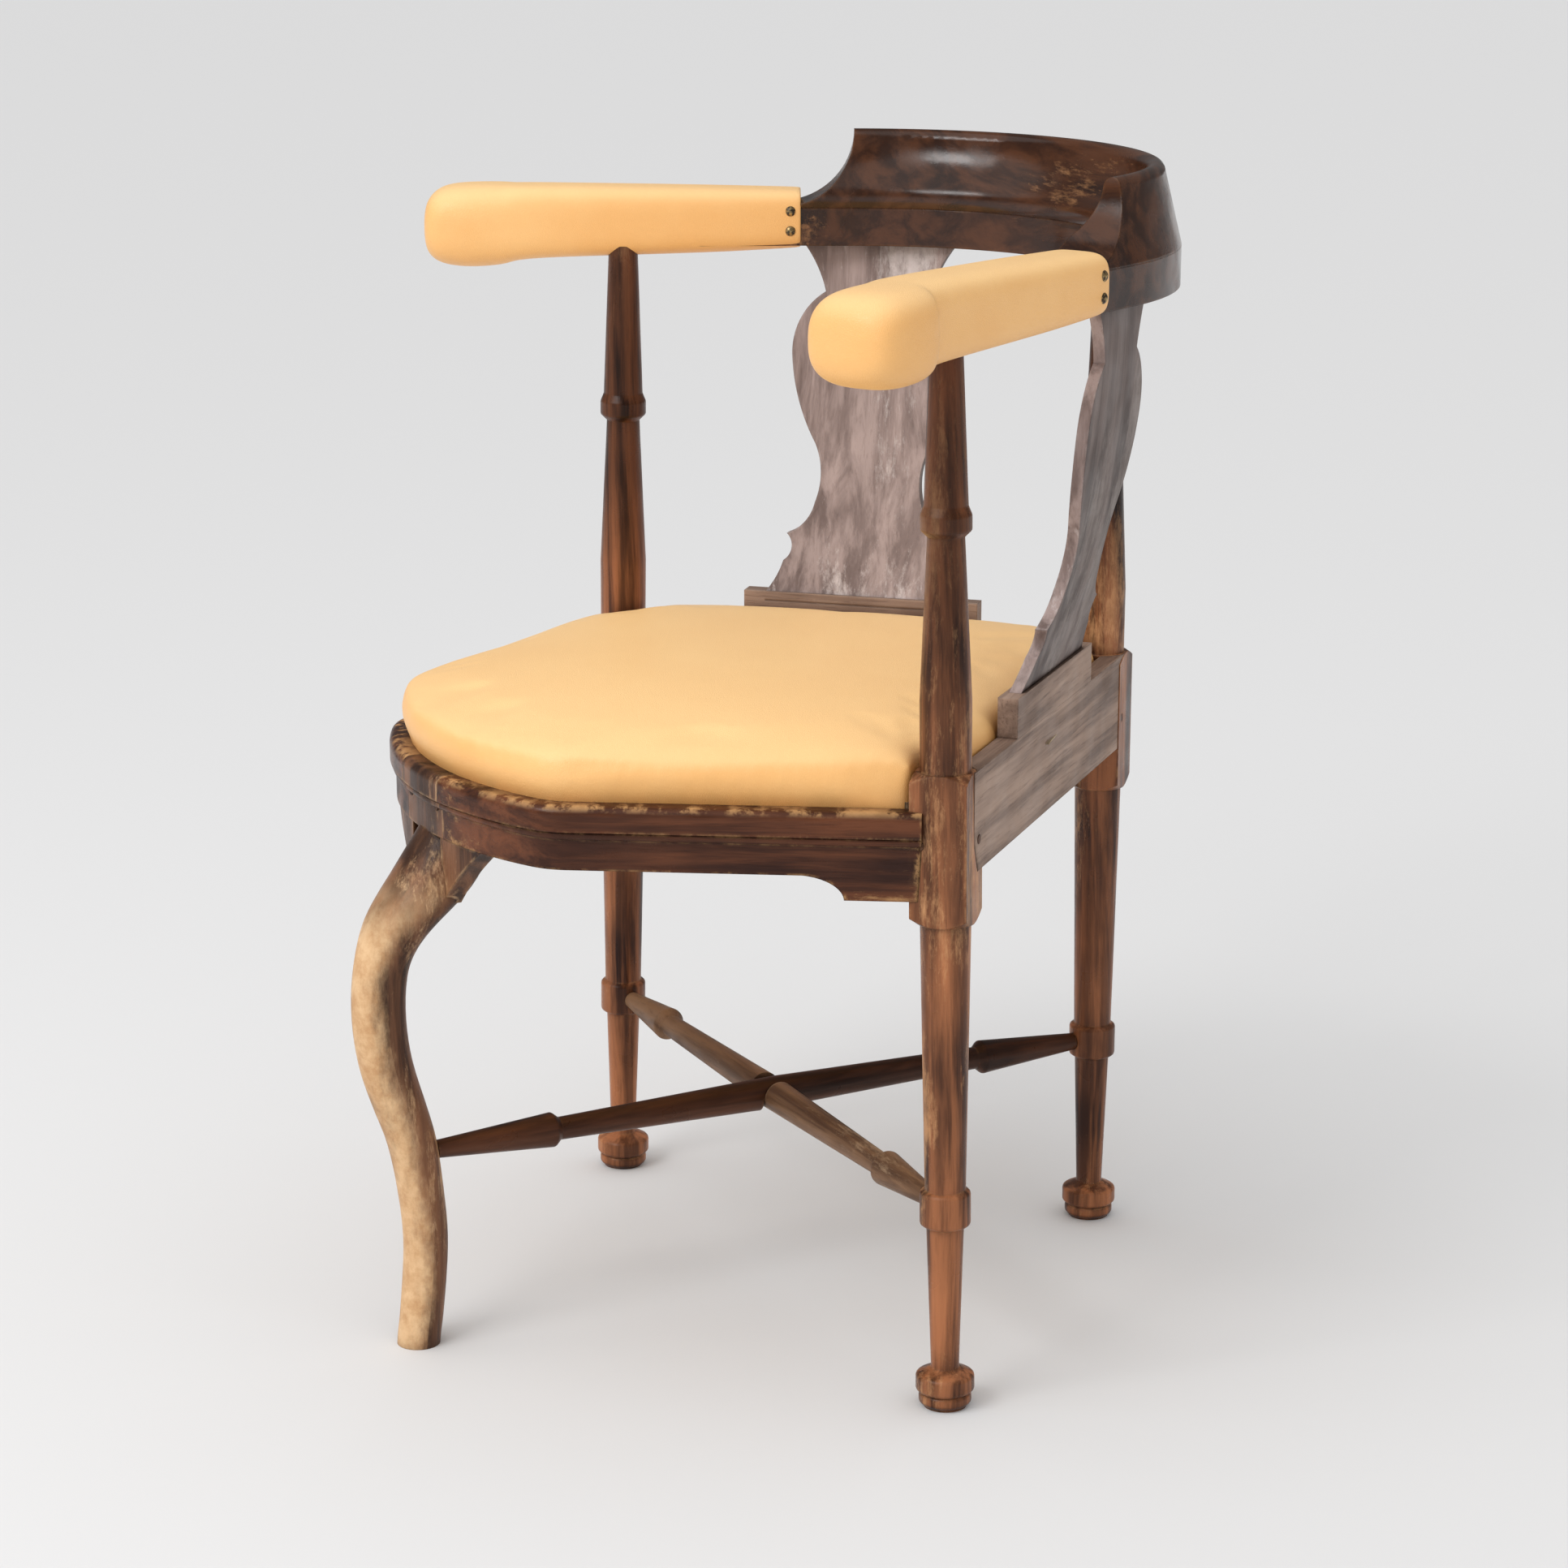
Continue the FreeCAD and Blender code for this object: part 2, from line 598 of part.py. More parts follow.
def knee_bracket(left):
    side = 1 if left else -1
    inset = size("lip_proud") + 1
    band = front_band(inset, inset + size("ear_thick"), size("ear_low"), rail_low)
    end, low = size("ear_reach"), size("ear_low")
    near = corner_half - 6
    top = Vector(side * end, 0, rail_low)
    foot = Vector(side * near, 0, low)
    sag = (top + foot) * 0.5 + Vector(0, 0, 2)
    keep = Part.Face(Part.Wire([
        Part.Arc(foot, sag, top).toShape(),
        Part.LineSegment(top, Vector(side * near, 0, rail_low)).toShape(),
        Part.LineSegment(Vector(side * near, 0, rail_low), foot).toShape(),
    ])).extrude(Vector(0, -2 * front_reach, 0))
    return band.common(keep)


swing = feature("cabriole_swing", cabriole())
block_deep = size("corner_deep")
corner_band = shared("corner_band", front, box(
    "corner_slice", (2 * corner_half, 2 * wide, tall), Vector(-corner_half, -wide, 0)))
stub_low = size("rail_drop") - 3
stub = box("corner_stub", (46, block_deep - 16, ledge - stub_low),
           Vector(-23, -front_reach + size("lip_proud") + 12, stub_low))
leg_blank = joined("front_leg_blank", [swing, corner_band, stub])
brackets = []
for is_left in (True, False):
    side = "left" if is_left else "right"
    bracket = feature(side + "_bracket_blank", knee_bracket(is_left))
    brackets.append(node(less(side + "_knee_bracket", bracket, [leg_blank]), side + "_knee_bracket"))

# Stretchers: two turned rods with knops, halved together where they cross.
level = size("stretcher_level")
collar_at = spread - level * lean_rate
into_collar = size("collar_radius") - 0.3
pin_long = size("stretcher_pin_length")
shin_reach, shin_radius = 272.6, 16.9


def stretcher_turning(name, one_end, other_end, turn):
    body = doc.addObject("PartDesign::Body", name)
    for tag, end, sign in (("one", one_end, 1), ("other", other_end, -1)):
        derived(name + tag + "end", "%.3f" % (sign * end), "shoulder of a stretcher")
        derived(name + tag + "pin", "%.3f" % (sign * (end + pin_long)), "tip of a stretcher")
    doc.recompute()
    profile = outline(new_sketch(body, "XZ_Plane", name + "_profile"), [
        (None, name + "onepin"), ("stretcher_pin", name + "onepin"),
        ("stretcher_pin", name + "oneend"), ("stretcher_end", name + "oneend"),
        ("knop_radius", "knop_back"), ("stretcher_waist", "knop_place"),
        ("stretcher_middle", None), ("stretcher_waist", "-knop_place"),
        ("knop_radius", "-knop_back"), ("stretcher_end", name + "otherend"),
        ("stretcher_pin", name + "otherend"), ("stretcher_pin", name + "otherpin"),
        (None, name + "otherpin"),
    ])
    turned = revolve(body, profile)
    doc.recompute()
    body.Tip = rounded_turning(body, turned, [("knop_radius", "knop_back"),
                                              ("knop_radius", "knop_other_back")])
    doc.recompute()
    return placed(body, UP * level, turn)


along_y = Rotation(Vector(1, 0, 0), Vector(0, 0, -1), Vector(0, 1, 0), "XYZ")
along_x = Rotation(Vector(0, 1, 0), Vector(0, 0, 1), Vector(1, 0, 0), "XYZ")
long_turning = stretcher_turning("longrod", reach - into_collar, shin_reach - shin_radius + 0.4,
                                 along_y)
cross_turning = stretcher_turning("crossrod", collar_at - into_collar, collar_at - into_collar,
                                  along_x)
lap = 2 * size("stretcher_middle") + 0.2
lower_lap = box("lower_lap", (2 * lap, lap, lap), Vector(-lap, -lap / 2, level - lap))
long_stretcher = node(less("long_stretcher", long_turning, [lower_lap]), "long_stretcher")
upper_lap = box("upper_lap", (lap, 2 * lap, lap), Vector(-lap / 2, -lap, level))
cross_stretcher = node(less("cross_stretcher", cross_turning, [upper_lap]), "cross_stretcher")


def stretcher_holes(name):
    # round holes for the stretchers' pins, along both axes
    wider = size("stretcher_pin") + gap
    holes = []
    ends = (("back", Vector(0, reach - into_collar - 0.2, level), Vector(0, 1, 0)),
            ("front", Vector(0, -(shin_reach - shin_radius) + 0.2, level), Vector(0, -1, 0)),
            ("left", Vector(collar_at - into_collar - 0.2, 0, level), Vector(1, 0, 0)),
            ("right", Vector(-collar_at + into_collar + 0.2, 0, level), Vector(-1, 0, 0)))
    for tag, base, direction in ends:
        hole = doc.addObject("Part::Cylinder", name + "_" + tag)
        hole.Radius, hole.Height = wider, pin_long + 0.6
        holes.append(placed(hole, base, Rotation(UP, direction)))
    return holes


pin_holes = stretcher_holes("pin_hole")

# Pegs through the rail joints, from the outside of the blocks.
peg_radius, peg_length, peg_level = size("peg_radius"), size("peg_length"), 386.0


def peg_places():
    places = []
    for left in (True, False):
        for along in (half - 9, side_length - half + 9):
            point = side_post + outward * (half + 0.4) + run * along
            into = -outward
            places.append((point, into) if left else (mirrored(point), mirrored(into)))
        into = Vector(-1, 1, 0).normalize()
        point = side_post + Vector(5, 5 - size("block_side") / math.sqrt(2) - 0.4, 0)
        places.append((point, into) if left else (mirrored(point), mirrored(into)))
        side = 1 if left else -1
        point = Vector(side * (corner_half - 8), -front_reach + size("lip_proud") + 0.2, 0)
        places.append((point, Vector(0, 1, 0)))
    return places


def peg_group(grow):
    return Part.makeCompound([
        Part.makeCylinder(peg_radius + grow, peg_length + grow, place + UP * peg_level, into)
        for place, into in peg_places()])


pegs = node(feature("rail_pegs", peg_group(0)), "rail_pegs")
peg_holes = feature("peg_holes", peg_group(gap))
for label, blank in rail_blanks:
    node(less(label, blank, [peg_holes]), label)

# Horseshoe arm rail: a curved back and two straight arms that spread to the hands.
bow_radius, bow_back = size("bow_radius"), size("bow_centre")
turned = math.radians(90 - size("arm_splay"))
bow_axis = Vector(0, bow_back, 0)
arm_root = bow_axis + Vector(math.sin(turned), math.cos(turned), 0) * bow_radius
arm_course = Vector(math.cos(turned), -math.sin(turned), 0)
arm_outward = Vector(math.sin(turned), math.cos(turned), 0)
arm_low, arm_high = size("arm_low"), size("arm_low") + size("arm_thick")
arm_in, arm_out = -size("arm_inner"), size("arm_outer")


def on_arm(along, across, high, left=True):
    # a point by its distance along the straight arm, outside its middle line, and level
    point = arm_root + arm_course * along + arm_outward * across + UP * high
    return point if left else mirrored(point)


def ring_face(corners, left=True):
    wire = Part.makePolygon([on_arm(0, across, high, left) for across, high in corners]
                            + [on_arm(0, corners[0][0], corners[0][1], left)])
    return Part.Face(wire)


def wooden_arm(left):
    section = ring_face([(arm_in, arm_low), (arm_out, arm_low), (arm_out, arm_high),
                         (arm_in, arm_high)], left)
    sweep = math.degrees(turned) * (1 if left else -1)
    back = section.revolve(bow_axis, UP, sweep)
    start, end = size("hand_start"), size("hand_end")
    wide_hand, rounding = size("hand_outer"), size("hand_round")
    corner = rounding * (1 - math.sqrt(0.5))

    def spot(along, across):
        return on_arm(along, across, arm_low, left)

    # under the leather the arm is a little wider inside, round the post's tenon
    hidden, deep_in = size("ramp_length") + 6, arm_in - size("arm_swell")
    path = [
        Part.LineSegment(spot(0, arm_in), spot(hidden, arm_in)),
        Part.LineSegment(spot(hidden, arm_in), spot(hidden + 65, deep_in)),
        Part.LineSegment(spot(hidden + 65, deep_in), spot(end - rounding, deep_in)),
        Part.Arc(spot(end - rounding, deep_in), spot(end - corner, deep_in + corner),
                 spot(end, deep_in + rounding)),
        Part.LineSegment(spot(end, deep_in + rounding), spot(end, wide_hand - rounding)),
        Part.Arc(spot(end, wide_hand - rounding), spot(end - corner, wide_hand - corner),
                 spot(end - rounding, wide_hand)),
        Part.LineSegment(spot(end - rounding, wide_hand), spot(start + rounding, wide_hand)),
        Part.LineSegment(spot(start + rounding, wide_hand), spot(start, arm_out)),
        Part.LineSegment(spot(start, arm_out), spot(0, arm_out)),
        Part.LineSegment(spot(0, arm_out), spot(0, arm_in)),
    ]
    plan = Part.Face(Part.Wire([item.toShape() for item in path]))
    return back.fuse(plan.extrude(UP * (arm_high - arm_low))).removeSplitter()


# Crest: one shaped block on the arm rail. Its inner face swells, then hollows and leans
# back to a thin rounded edge, and both ends ramp down to the padded arms.
def crest_face(left):
    shelf, top = size("crest_shelf"), size("crest_high")
    belly, inner_top, outer_top = size("crest_belly"), size("crest_top_inner"), size("crest_top_outer")
    edge = top - size("crest_top_round")

    def spot(across, high):
        return on_arm(0, across, high, left)

    path = [
        Part.Arc(spot(arm_in, arm_high), spot(-belly, (arm_high + shelf) / 2 - 1),
                 spot(arm_in + 1, shelf)),
        Part.Arc(spot(arm_in + 1, shelf), spot(-inner_top - 5, shelf + 13), spot(-inner_top, edge)),
        Part.Arc(spot(-inner_top, edge), spot((outer_top - inner_top) / 2, top),
                 spot(outer_top, edge)),
        Part.LineSegment(spot(outer_top, edge), spot(arm_out, arm_high)),
        Part.LineSegment(spot(arm_out, arm_high), spot(arm_in, arm_high)),
    ]
    return Part.Face(Part.Wire([item.toShape() for item in path]))


def crest():
    back = crest_face(True).revolve(bow_axis, UP, 2 * math.degrees(turned))
    long, foot, top = size("ramp_length"), size("ramp_foot"), size("crest_high")
    for left in (True, False):
        course = arm_course if left else mirrored(arm_course)
        ramp = crest_face(left).extrude(course * long)
        high = Vector(0, 0, 10)
        path = [
            Part.Arc(on_arm(0, -60, top, left), on_arm(long * 0.24, -60, arm_high + 24, left),
                     on_arm(long, -60, arm_high + foot, left)),
            Part.LineSegment(on_arm(long, -60, arm_high + foot, left),
                             on_arm(long, -60, top, left) + high),
            Part.LineSegment(on_arm(long, -60, top, left) + high, on_arm(0, -60, top, left) + high),
            Part.LineSegment(on_arm(0, -60, top, left) + high, on_arm(0, -60, top, left)),
        ]
        sideways = arm_outward if left else mirrored(arm_outward)
        scoop = Part.Face(Part.Wire([item.toShape() for item in path])).extrude(sideways * 120)
        back = back.fuse(ramp.cut(scoop))
    return back.removeSplitter()


def screw_group(grow):
    bodies = []
    middle = bow_radius + (arm_in + arm_out) / 2
    for angle in (-30, -13, 13, 30):
        place = bow_axis + Vector(math.sin(math.radians(angle)), math.cos(math.radians(angle)), 0) * middle
        low = place + UP * (arm_low + 0.4)
        head, deep = size("screw_head") + grow, 4 + grow
        shank = Part.makeCylinder(size("screw_radius") + grow, size("screw_length") + grow, low, UP)
        cone = Part.makeCone(head, size("screw_radius") + grow, deep, low, UP)
        bodies.append(shank.fuse(cone).removeSplitter())
        if grow:
            bodies.append(Part.makeCylinder(head, 2, low - UP * 2, UP))
    return Part.makeCompound(bodies)


screws = node(feature("crest_screws", screw_group(0)), "crest_screws")
screw_holes = feature("screw_holes", screw_group(gap))

# Splats: thin vase-shaped boards, bent so that they start out from the seat and rise
# upright to the arm rail. Half widths and heights of the outline, one arc per line.
VASE = (
    ((72, 0), (65.5, 10), (61, 22)),
    ((61, 22), (55.5, 32), (60, 41)),
    ((60, 41), (47, 50), (40.5, 64)),
    ((40.5, 64), (37.5, 86), (43, 106)),
    ((43, 106), (57, 136), (63.5, 170)),
    ((63.5, 170), (56, 199), (39, 216)),
    ((39, 216), (45, 233), (57, 252)),
)
splat_middle = (side_post + back_post_axis) * 0.5
shoe_high = size("shoe_high")
tongue = size("splat_tongue")


def on_side(along, out, high, left):
    # a point by its place along a back rail from the middle, outside the posts' line
    point = splat_middle + run * along + outward * out + UP * high
    return point if left else mirrored(point)


def splat_shape(left, grow):
    vase = []
    for first, middle, last in VASE:
        vase.append(Part.Arc(*[on_side(w + grow, -40, shoe_high + high, left)
                               for w, high in (first, middle, last)]).toShape())
    for first, middle, last in VASE[::-1]:
        vase.append(Part.Arc(*[on_side(-w - grow, -40, shoe_high + high, left)
                               for w, high in (last, middle, first)]).toShape())
    base, head = VASE[0][0], VASE[-1][-1]
    corners = [(head[0] + grow, arm_low - shoe_high), (head[0] + grow, arm_low - shoe_high + tongue)]
    top = [on_side(head[0] + grow, -40, shoe_high + head[1], left),
           on_side(head[0] + grow, -40, arm_low + tongue + grow, left),
           on_side(-head[0] - grow, -40, arm_low + tongue + grow, left),
           on_side(-head[0] - grow, -40, shoe_high + head[1], left)]
    low = [on_side(-base[0] - grow, -40, shoe_high, left),
           on_side(-base[0] - grow, -40, shoe_high - tongue - grow, left),
           on_side(base[0] + grow, -40, shoe_high - tongue - grow, left),
           on_side(base[0] + grow, -40, shoe_high, left)]
    count = len(VASE)
    edges = vase[:count]
    edges += [Part.LineSegment(a, b).toShape() for a, b in zip(top, top[1:])]
    edges += vase[count:]
    edges += [Part.LineSegment(a, b).toShape() for a, b in zip(low, low[1:])]
    direction = outward if left else mirrored(outward)
    board = Part.Face(Part.Wire(edges)).extrude(direction * 160)
    return board.common(bent_plate(left, grow))


def bent_plate(left, grow):
    # side view of the bend: an arc that ends upright under the arm rail
    foot, head = size("splat_foot"), size("splat_head")
    rise, set_off = arm_low - shoe_high, head - foot
    radius = (set_off ** 2 + rise ** 2) / (2 * set_off)
    thick = size("splat_thick") / 2 + grow

    def arc_point(high, side):
        below = min(arm_low - high, radius - 1)
        return on_side(-90, head - radius + math.sqrt((radius + side) ** 2 - below ** 2), high, left)

    low, mid, high = shoe_high - 20, (shoe_high + arm_low) / 2, arm_low
    above = UP * 40
    inner = [arc_point(value, -thick) for value in (low, mid, high)]
    outer = [arc_point(value, thick) for value in (low, mid, high)]
    edges = [
        Part.Arc(*inner).toShape(),
        Part.LineSegment(inner[2], inner[2] + above).toShape(),
        Part.LineSegment(inner[2] + above, outer[2] + above).toShape(),
        Part.LineSegment(outer[2] + above, outer[2]).toShape(),
        Part.Arc(*outer[::-1]).toShape(),
        Part.LineSegment(outer[0], inner[0]).toShape(),
    ]
    direction = run if left else mirrored(run)
    return Part.Face(Part.Wire(edges)).extrude(direction * 180)


def make_splat(left):
    side = "left" if left else "right"
    splat = node(feature(side + "_splat", splat_shape(left, 0)), side + "_splat")
    slot = feature(side + "_splat_slot", splat_shape(left, gap))
    long = size("shoe_length")
    blank = side_box(side + "_shoe_blank", left, (side_length - long) / 2, 0, rail_high,
                     (long, wall, shoe_high - rail_high))
    shoe = node(less(side + "_shoe", blank, [slot]), side + "_shoe")
    return splat, slot, shoe


left_splat, left_slot, left_shoe = make_splat(True)
right_splat, right_slot, right_shoe = make_splat(False)



def head_pin_hole(name, base, lean):
    hole = doc.addObject("Part::Cylinder", name)
    hole.Radius = size("head_pin") + gap
    hole.Height = size("head_pin_length") + 3
    axis = Rotation(Vector(0, 1, 0), lean)
    return placed(hole, base + axis.multVec(UP * (arm_low - 2)), axis)


pin_sockets = [head_pin_hole("left_socket", Vector(spread, 0, 0), -splay),
               head_pin_hole("right_socket", Vector(-spread, 0, 0), splay),
               head_pin_hole("back_socket", Vector(0, reach, 0), 0)]
node(less("crest_rail", feature("crest_blank", crest()), [screw_holes]), "crest_rail")

# Padded arms: leather over wadding, lofted round the wooden arm. Each place is the
# distance along the arm, inner side, outer side, underside and top.
hide = size("hide_thick")
PAD_PLACES = (
    (39, 27, 21, 708.5, 750), (100, 30, 23, 705, 752), (170, 31, 24, 703, 753),
    (225, 31, 25, 701.5, 754), (243, 31, 27, 700.5, 754.5), (258, 31, 35.5, 699, 755),
    (278, 30.5, 38, 698, 755), (296, 28.5, 36.5, 699.5, 753), (307, 23, 30, 705, 746),
    (311, 15, 22, 712, 738),
)


def pad_ring(place, inset, left):
    along, inner, outer, low, high = place
    inner, outer, low, high = inset - inner, outer - inset, low + inset, high - inset
    small = min(size("pad_low_round"), (high - low) * 0.3) - inset * 0.5
    big = min(size("pad_top_round"), (high - low) * 0.42) - inset * 0.5

    def spot(across, level_here):
        return on_arm(along, across, level_here, left)

    def bend(across, level_here, sign_across, sign_level, radius):
        # quarter circle in the corner at (across, level_here)
        cut = radius * (1 - math.sqrt(0.5))
        start = spot(across, level_here + sign_level * radius)
        middle = spot(across + sign_across * cut, level_here + sign_level * cut)
        end = spot(across + sign_across * radius, level_here)
        return start, middle, end

    lower_in, lower_out = bend(inner, low, 1, 1, small), bend(outer, low, -1, 1, small)
    upper_in, upper_out = bend(inner, high, 1, -1, big), bend(outer, high, -1, -1, big)
    edges = [
        Part.Arc(*lower_in), Part.LineSegment(lower_in[2], lower_out[2]),
        Part.Arc(*lower_out[::-1]), Part.LineSegment(lower_out[0], upper_out[0]),
        Part.Arc(*upper_out), Part.LineSegment(upper_out[2], upper_in[2]),
        Part.Arc(*upper_in[::-1]), Part.LineSegment(upper_in[0], lower_in[0]),
    ]
    return Part.Wire([edge.toShape() for edge in edges])


def pad_solid(left, inset, start):
    first = (start,) + PAD_PLACES[0][1:]
    last = (PAD_PLACES[-1][0] - inset,) + PAD_PLACES[-1][1:]
    places = (first,) + PAD_PLACES[1:-1] + (last,)
    return Part.makeLoft([pad_ring(place, inset, left) for place in places], True, True)


def nail_group(left, grow):
    nails = []
    along = PAD_PLACES[0][0] + size("nail_inset")
    for across, sign, levels in ((-27.4, 1, (722, 736)), (21.3, -1, (722, 736))):
        for high in levels:
            into = (arm_outward if left else mirrored(arm_outward)) * sign
            place = on_arm(along, across, high, left)
            dome = Part.makeSphere(size("nail_radius"), place + into * 2.2)
            keep = Part.makeCylinder(20, 20, place + into * 0.3, -into)
            shank = Part.makeCylinder(size("nail_shank") + grow, 9 + grow, place - into * 0.5, into)
            if grow:
                nails.append(shank)
            nails.append(dome.common(keep) if grow else dome.common(keep).fuse(shank))
    return Part.makeCompound(nails)


arm_nodes = []
for is_left, slot, socket in ((True, left_slot, pin_sockets[0]), (False, right_slot, pin_sockets[1])):
    side = "left" if is_left else "right"
    blank = feature(side + "_arm_blank", wooden_arm(is_left))
    nails = node(feature(side + "_arm_nails", nail_group(is_left, 0)), side + "_arm_nails")
    nail_holes = feature(side + "_nail_holes", nail_group(is_left, gap))
    column = doc.addObject("Part::Cylinder", side + "_column_way")
    column.Radius, column.Height = size("head_radius") + 0.6, 40
    axis = Rotation(Vector(0, 1, 0), -splay if is_left else splay)
    base = Vector(spread if is_left else -spread, 0, 0)
    placed(column, base + axis.multVec(UP * (arm_low - 30)), axis)
    outer = feature(side + "_pad_outer", pad_solid(is_left, 0, 39))
    hollow = feature(side + "_pad_hollow", pad_solid(is_left, hide, 39.8))
    filling = feature(side + "_pad_filling", pad_solid(is_left, hide + 0.05, 40.5))
    node(less(side + "_arm_leather", outer, [hollow, blank, column, nail_holes]), side + "_arm_leather")
    node(less(side + "_arm_wadding", filling, [blank, column, nail_holes]), side + "_arm_wadding")
    node(less(side + "_arm", blank, [socket, pin_sockets[2], slot, screw_holes, nail_holes]),
         side + "_arm")

# Posts and cabriole leg with the holes for everything that enters them.
back_grown = {}
for is_left in (True, False):
    side = "left" if is_left else "right"
    back_grown[side] = (back_tenon(side + "_mortise_a", is_left, False, gap),
                        back_tenon(side + "_mortise_b", is_left, True, gap),
                        post_tenon(side + "_mortise_c", is_left, gap),
                        front_tenon(side + "_mortise_d", is_left, gap))
floor = box("floor_cut", (2 * wide, 2 * wide, 60), Vector(-wide, -wide, -60))
post_tools = {
    "left": [back_grown["left"][0], back_grown["left"][2], pin_holes[2], cross_stretcher],
    "right": [back_grown["right"][0], back_grown["right"][2], pin_holes[3], cross_stretcher],
    "back": [back_grown["left"][1], back_grown["right"][1], pin_holes[0], long_stretcher],
}
for side, turning in (("left", left_turning), ("right", right_turning), ("back", back_turning)):
    node(less(side + "_post", turning, post_tools[side] + [peg_holes, floor]), side + "_post")
node(less("front_leg", leg_blank, [back_grown["left"][3], back_grown["right"][3], pin_holes[1],
                                   long_stretcher, peg_holes]), "front_leg")

# Triangular blocks glued into three inside corners, below the ledge.
block_low, block_top = 368.0, 389.0
front_course = Vector(math.cos(heading), math.sin(heading), 0)


def meet(first, along_first, second, along_second):
    # crossing of two lines seen from above
    cross = along_first.x * along_second.y - along_first.y * along_second.x
    between = second - first
    step = (between.x * along_second.y - between.y * along_second.x) / cross
    return first + along_first * step


def glue_blocks():
    leg = size("glue_block")
    inner_front = polar(turn_middle, shoulder_radius - size("lip_proud") - rail_thick, heading)
    inner_back = side_post + outward * (half - rail_thick)
    apex = meet(inner_front, front_course, inner_back, run)
    side_three = [apex, apex - front_course * 2 * leg, apex + run * 2 * leg]
    tip = meet(inner_back, run, Vector(0, 0, 0), Vector(0, 1, 0))
    back_three = [tip, tip - run * 2 * leg, tip - mirrored(run) * 2 * leg]
    blocks = []
    for three in (side_three, [mirrored(point) for point in side_three], back_three):
        points = [point + UP * block_low for point in three]
        blocks.append(Part.Face(Part.makePolygon(points + [points[0]])).extrude(
            UP * (block_top - block_low)))
    return Part.makeCompound(blocks)


corner_blocks = node(less("corner_blocks", feature("corner_block_blanks", glue_blocks()), [posts]),
                     "corner_blocks")

# Drop-in seat: half-lapped bars, webbing, hessian, padding and leather.
seat_gap = size("seat_gap")


def seat_points(front_in, side_in, notch):
    # corners of the seat's outline on the left half, from the front rail to the back
    start = polar(turn_middle, shoulder_radius - front_in, heading)
    room = side_in * math.sqrt(2)
    leaned = (rail_high - block_middle) * lean_rate
    valley = Vector(side_post.x - leaned - block_reach - room, 0, 0)
    hollow = Vector(0, reach - block_reach - room, 0)
    back_from = side_post + outward * (half - wall - side_in)
    first = meet(start, front_course, valley, Vector(1, -1, 0))
    second = meet(valley, Vector(1, 1, 0), back_from, run)
    third = meet(back_from, run, hollow, Vector(1, 1, 0))
    chord = (first + second) * 0.5
    return [start, first, valley * notch + chord * (1 - notch), second, third,
            hollow * notch + Vector(0, third.y, 0) * (1 - notch)]


block_reach = size("block_side") / math.sqrt(2)


def seat_ring(level_here, front_in, side_in, notch=1.0, share=1.0):
    lift = UP * level_here
    start, first, valley, second, third, hollow = seat_points(front_in, side_in, notch)
    turn_half = polar(turn_middle, shoulder_radius - front_in, (heading + front_turn) / 2)
    bow_end = polar(bow_middle, front_radius - front_in, front_turn)
    bow_top = polar(bow_middle, front_radius - front_in, 0)

    def at(point):
        return point * share + lift

    def line(one, two):
        return Part.LineSegment(at(one), at(two)).toShape()

    def arc(one, two, three):
        return Part.Arc(at(one), at(two), at(three)).toShape()

    return Part.Wire([
        line(first, start), arc(start, turn_half, bow_end),
        arc(bow_end, bow_top, mirrored(bow_end)),
        arc(mirrored(bow_end), mirrored(turn_half), mirrored(start)),
        line(mirrored(start), mirrored(first)), line(mirrored(first), mirrored(valley)),
        line(mirrored(valley), mirrored(second)), line(mirrored(second), mirrored(third)),
        line(mirrored(third), hollow), line(hollow, third), line(third, second),
        line(second, valley), line(valley, first),
    ])


def seat_prism(low, high, front_in, side_in, share=1.0):
    return Part.Face(seat_ring(low, front_in, side_in, 1.0, share)).extrude(UP * (high - low))


def cushion(inset, low):
    edge, crown = size("edge_high") - inset, size("crown_high") - inset
    rest = wall + seat_gap + inset
    near = seat_gap + inset
    over = wall - size("roll_over") + inset
    rings = [
        seat_ring(low, rest, near), seat_ring(409, rest, near),
        seat_ring(size("roll_high") - 7, over + 2.2, near),
        seat_ring(size("roll_high"), over, near),
        seat_ring(rail_high + 1.4 - inset / 2, over + 1.4, near + 0.8),
        seat_ring(edge - 6, over + 2.4, near + 1.6, 0.85),
        seat_ring(edge, over + 9, near + 6, 0.5),
        seat_ring((edge + crown) / 2 + 1, over + 9, near + 6, 0.3, 0.84),
        seat_ring(crown - 2.4, over + 9, near + 6, 0.2, 0.6),
        seat_ring(crown, over + 9, near + 6, 0.1, 0.25),
    ]
    return Part.makeLoft(rings, True, True)


rest = wall + seat_gap
bar_low = ledge + hide
bar_high = bar_low + size("bar_thick")
web = size("web_thick")
hessian_low = bar_high + 2 * web
hessian_high = hessian_low + size("cloth_thick")
seat_frame = feature("seat_frame_blank", seat_prism(bar_low, bar_high, rest + hide, seat_gap + hide).cut(
    seat_prism(bar_low - 1, bar_high + 1, rest + hide, seat_gap + hide, size("bar_share"))))
lap_half = 24.0
bar_middle = (bar_low + bar_high) / 2


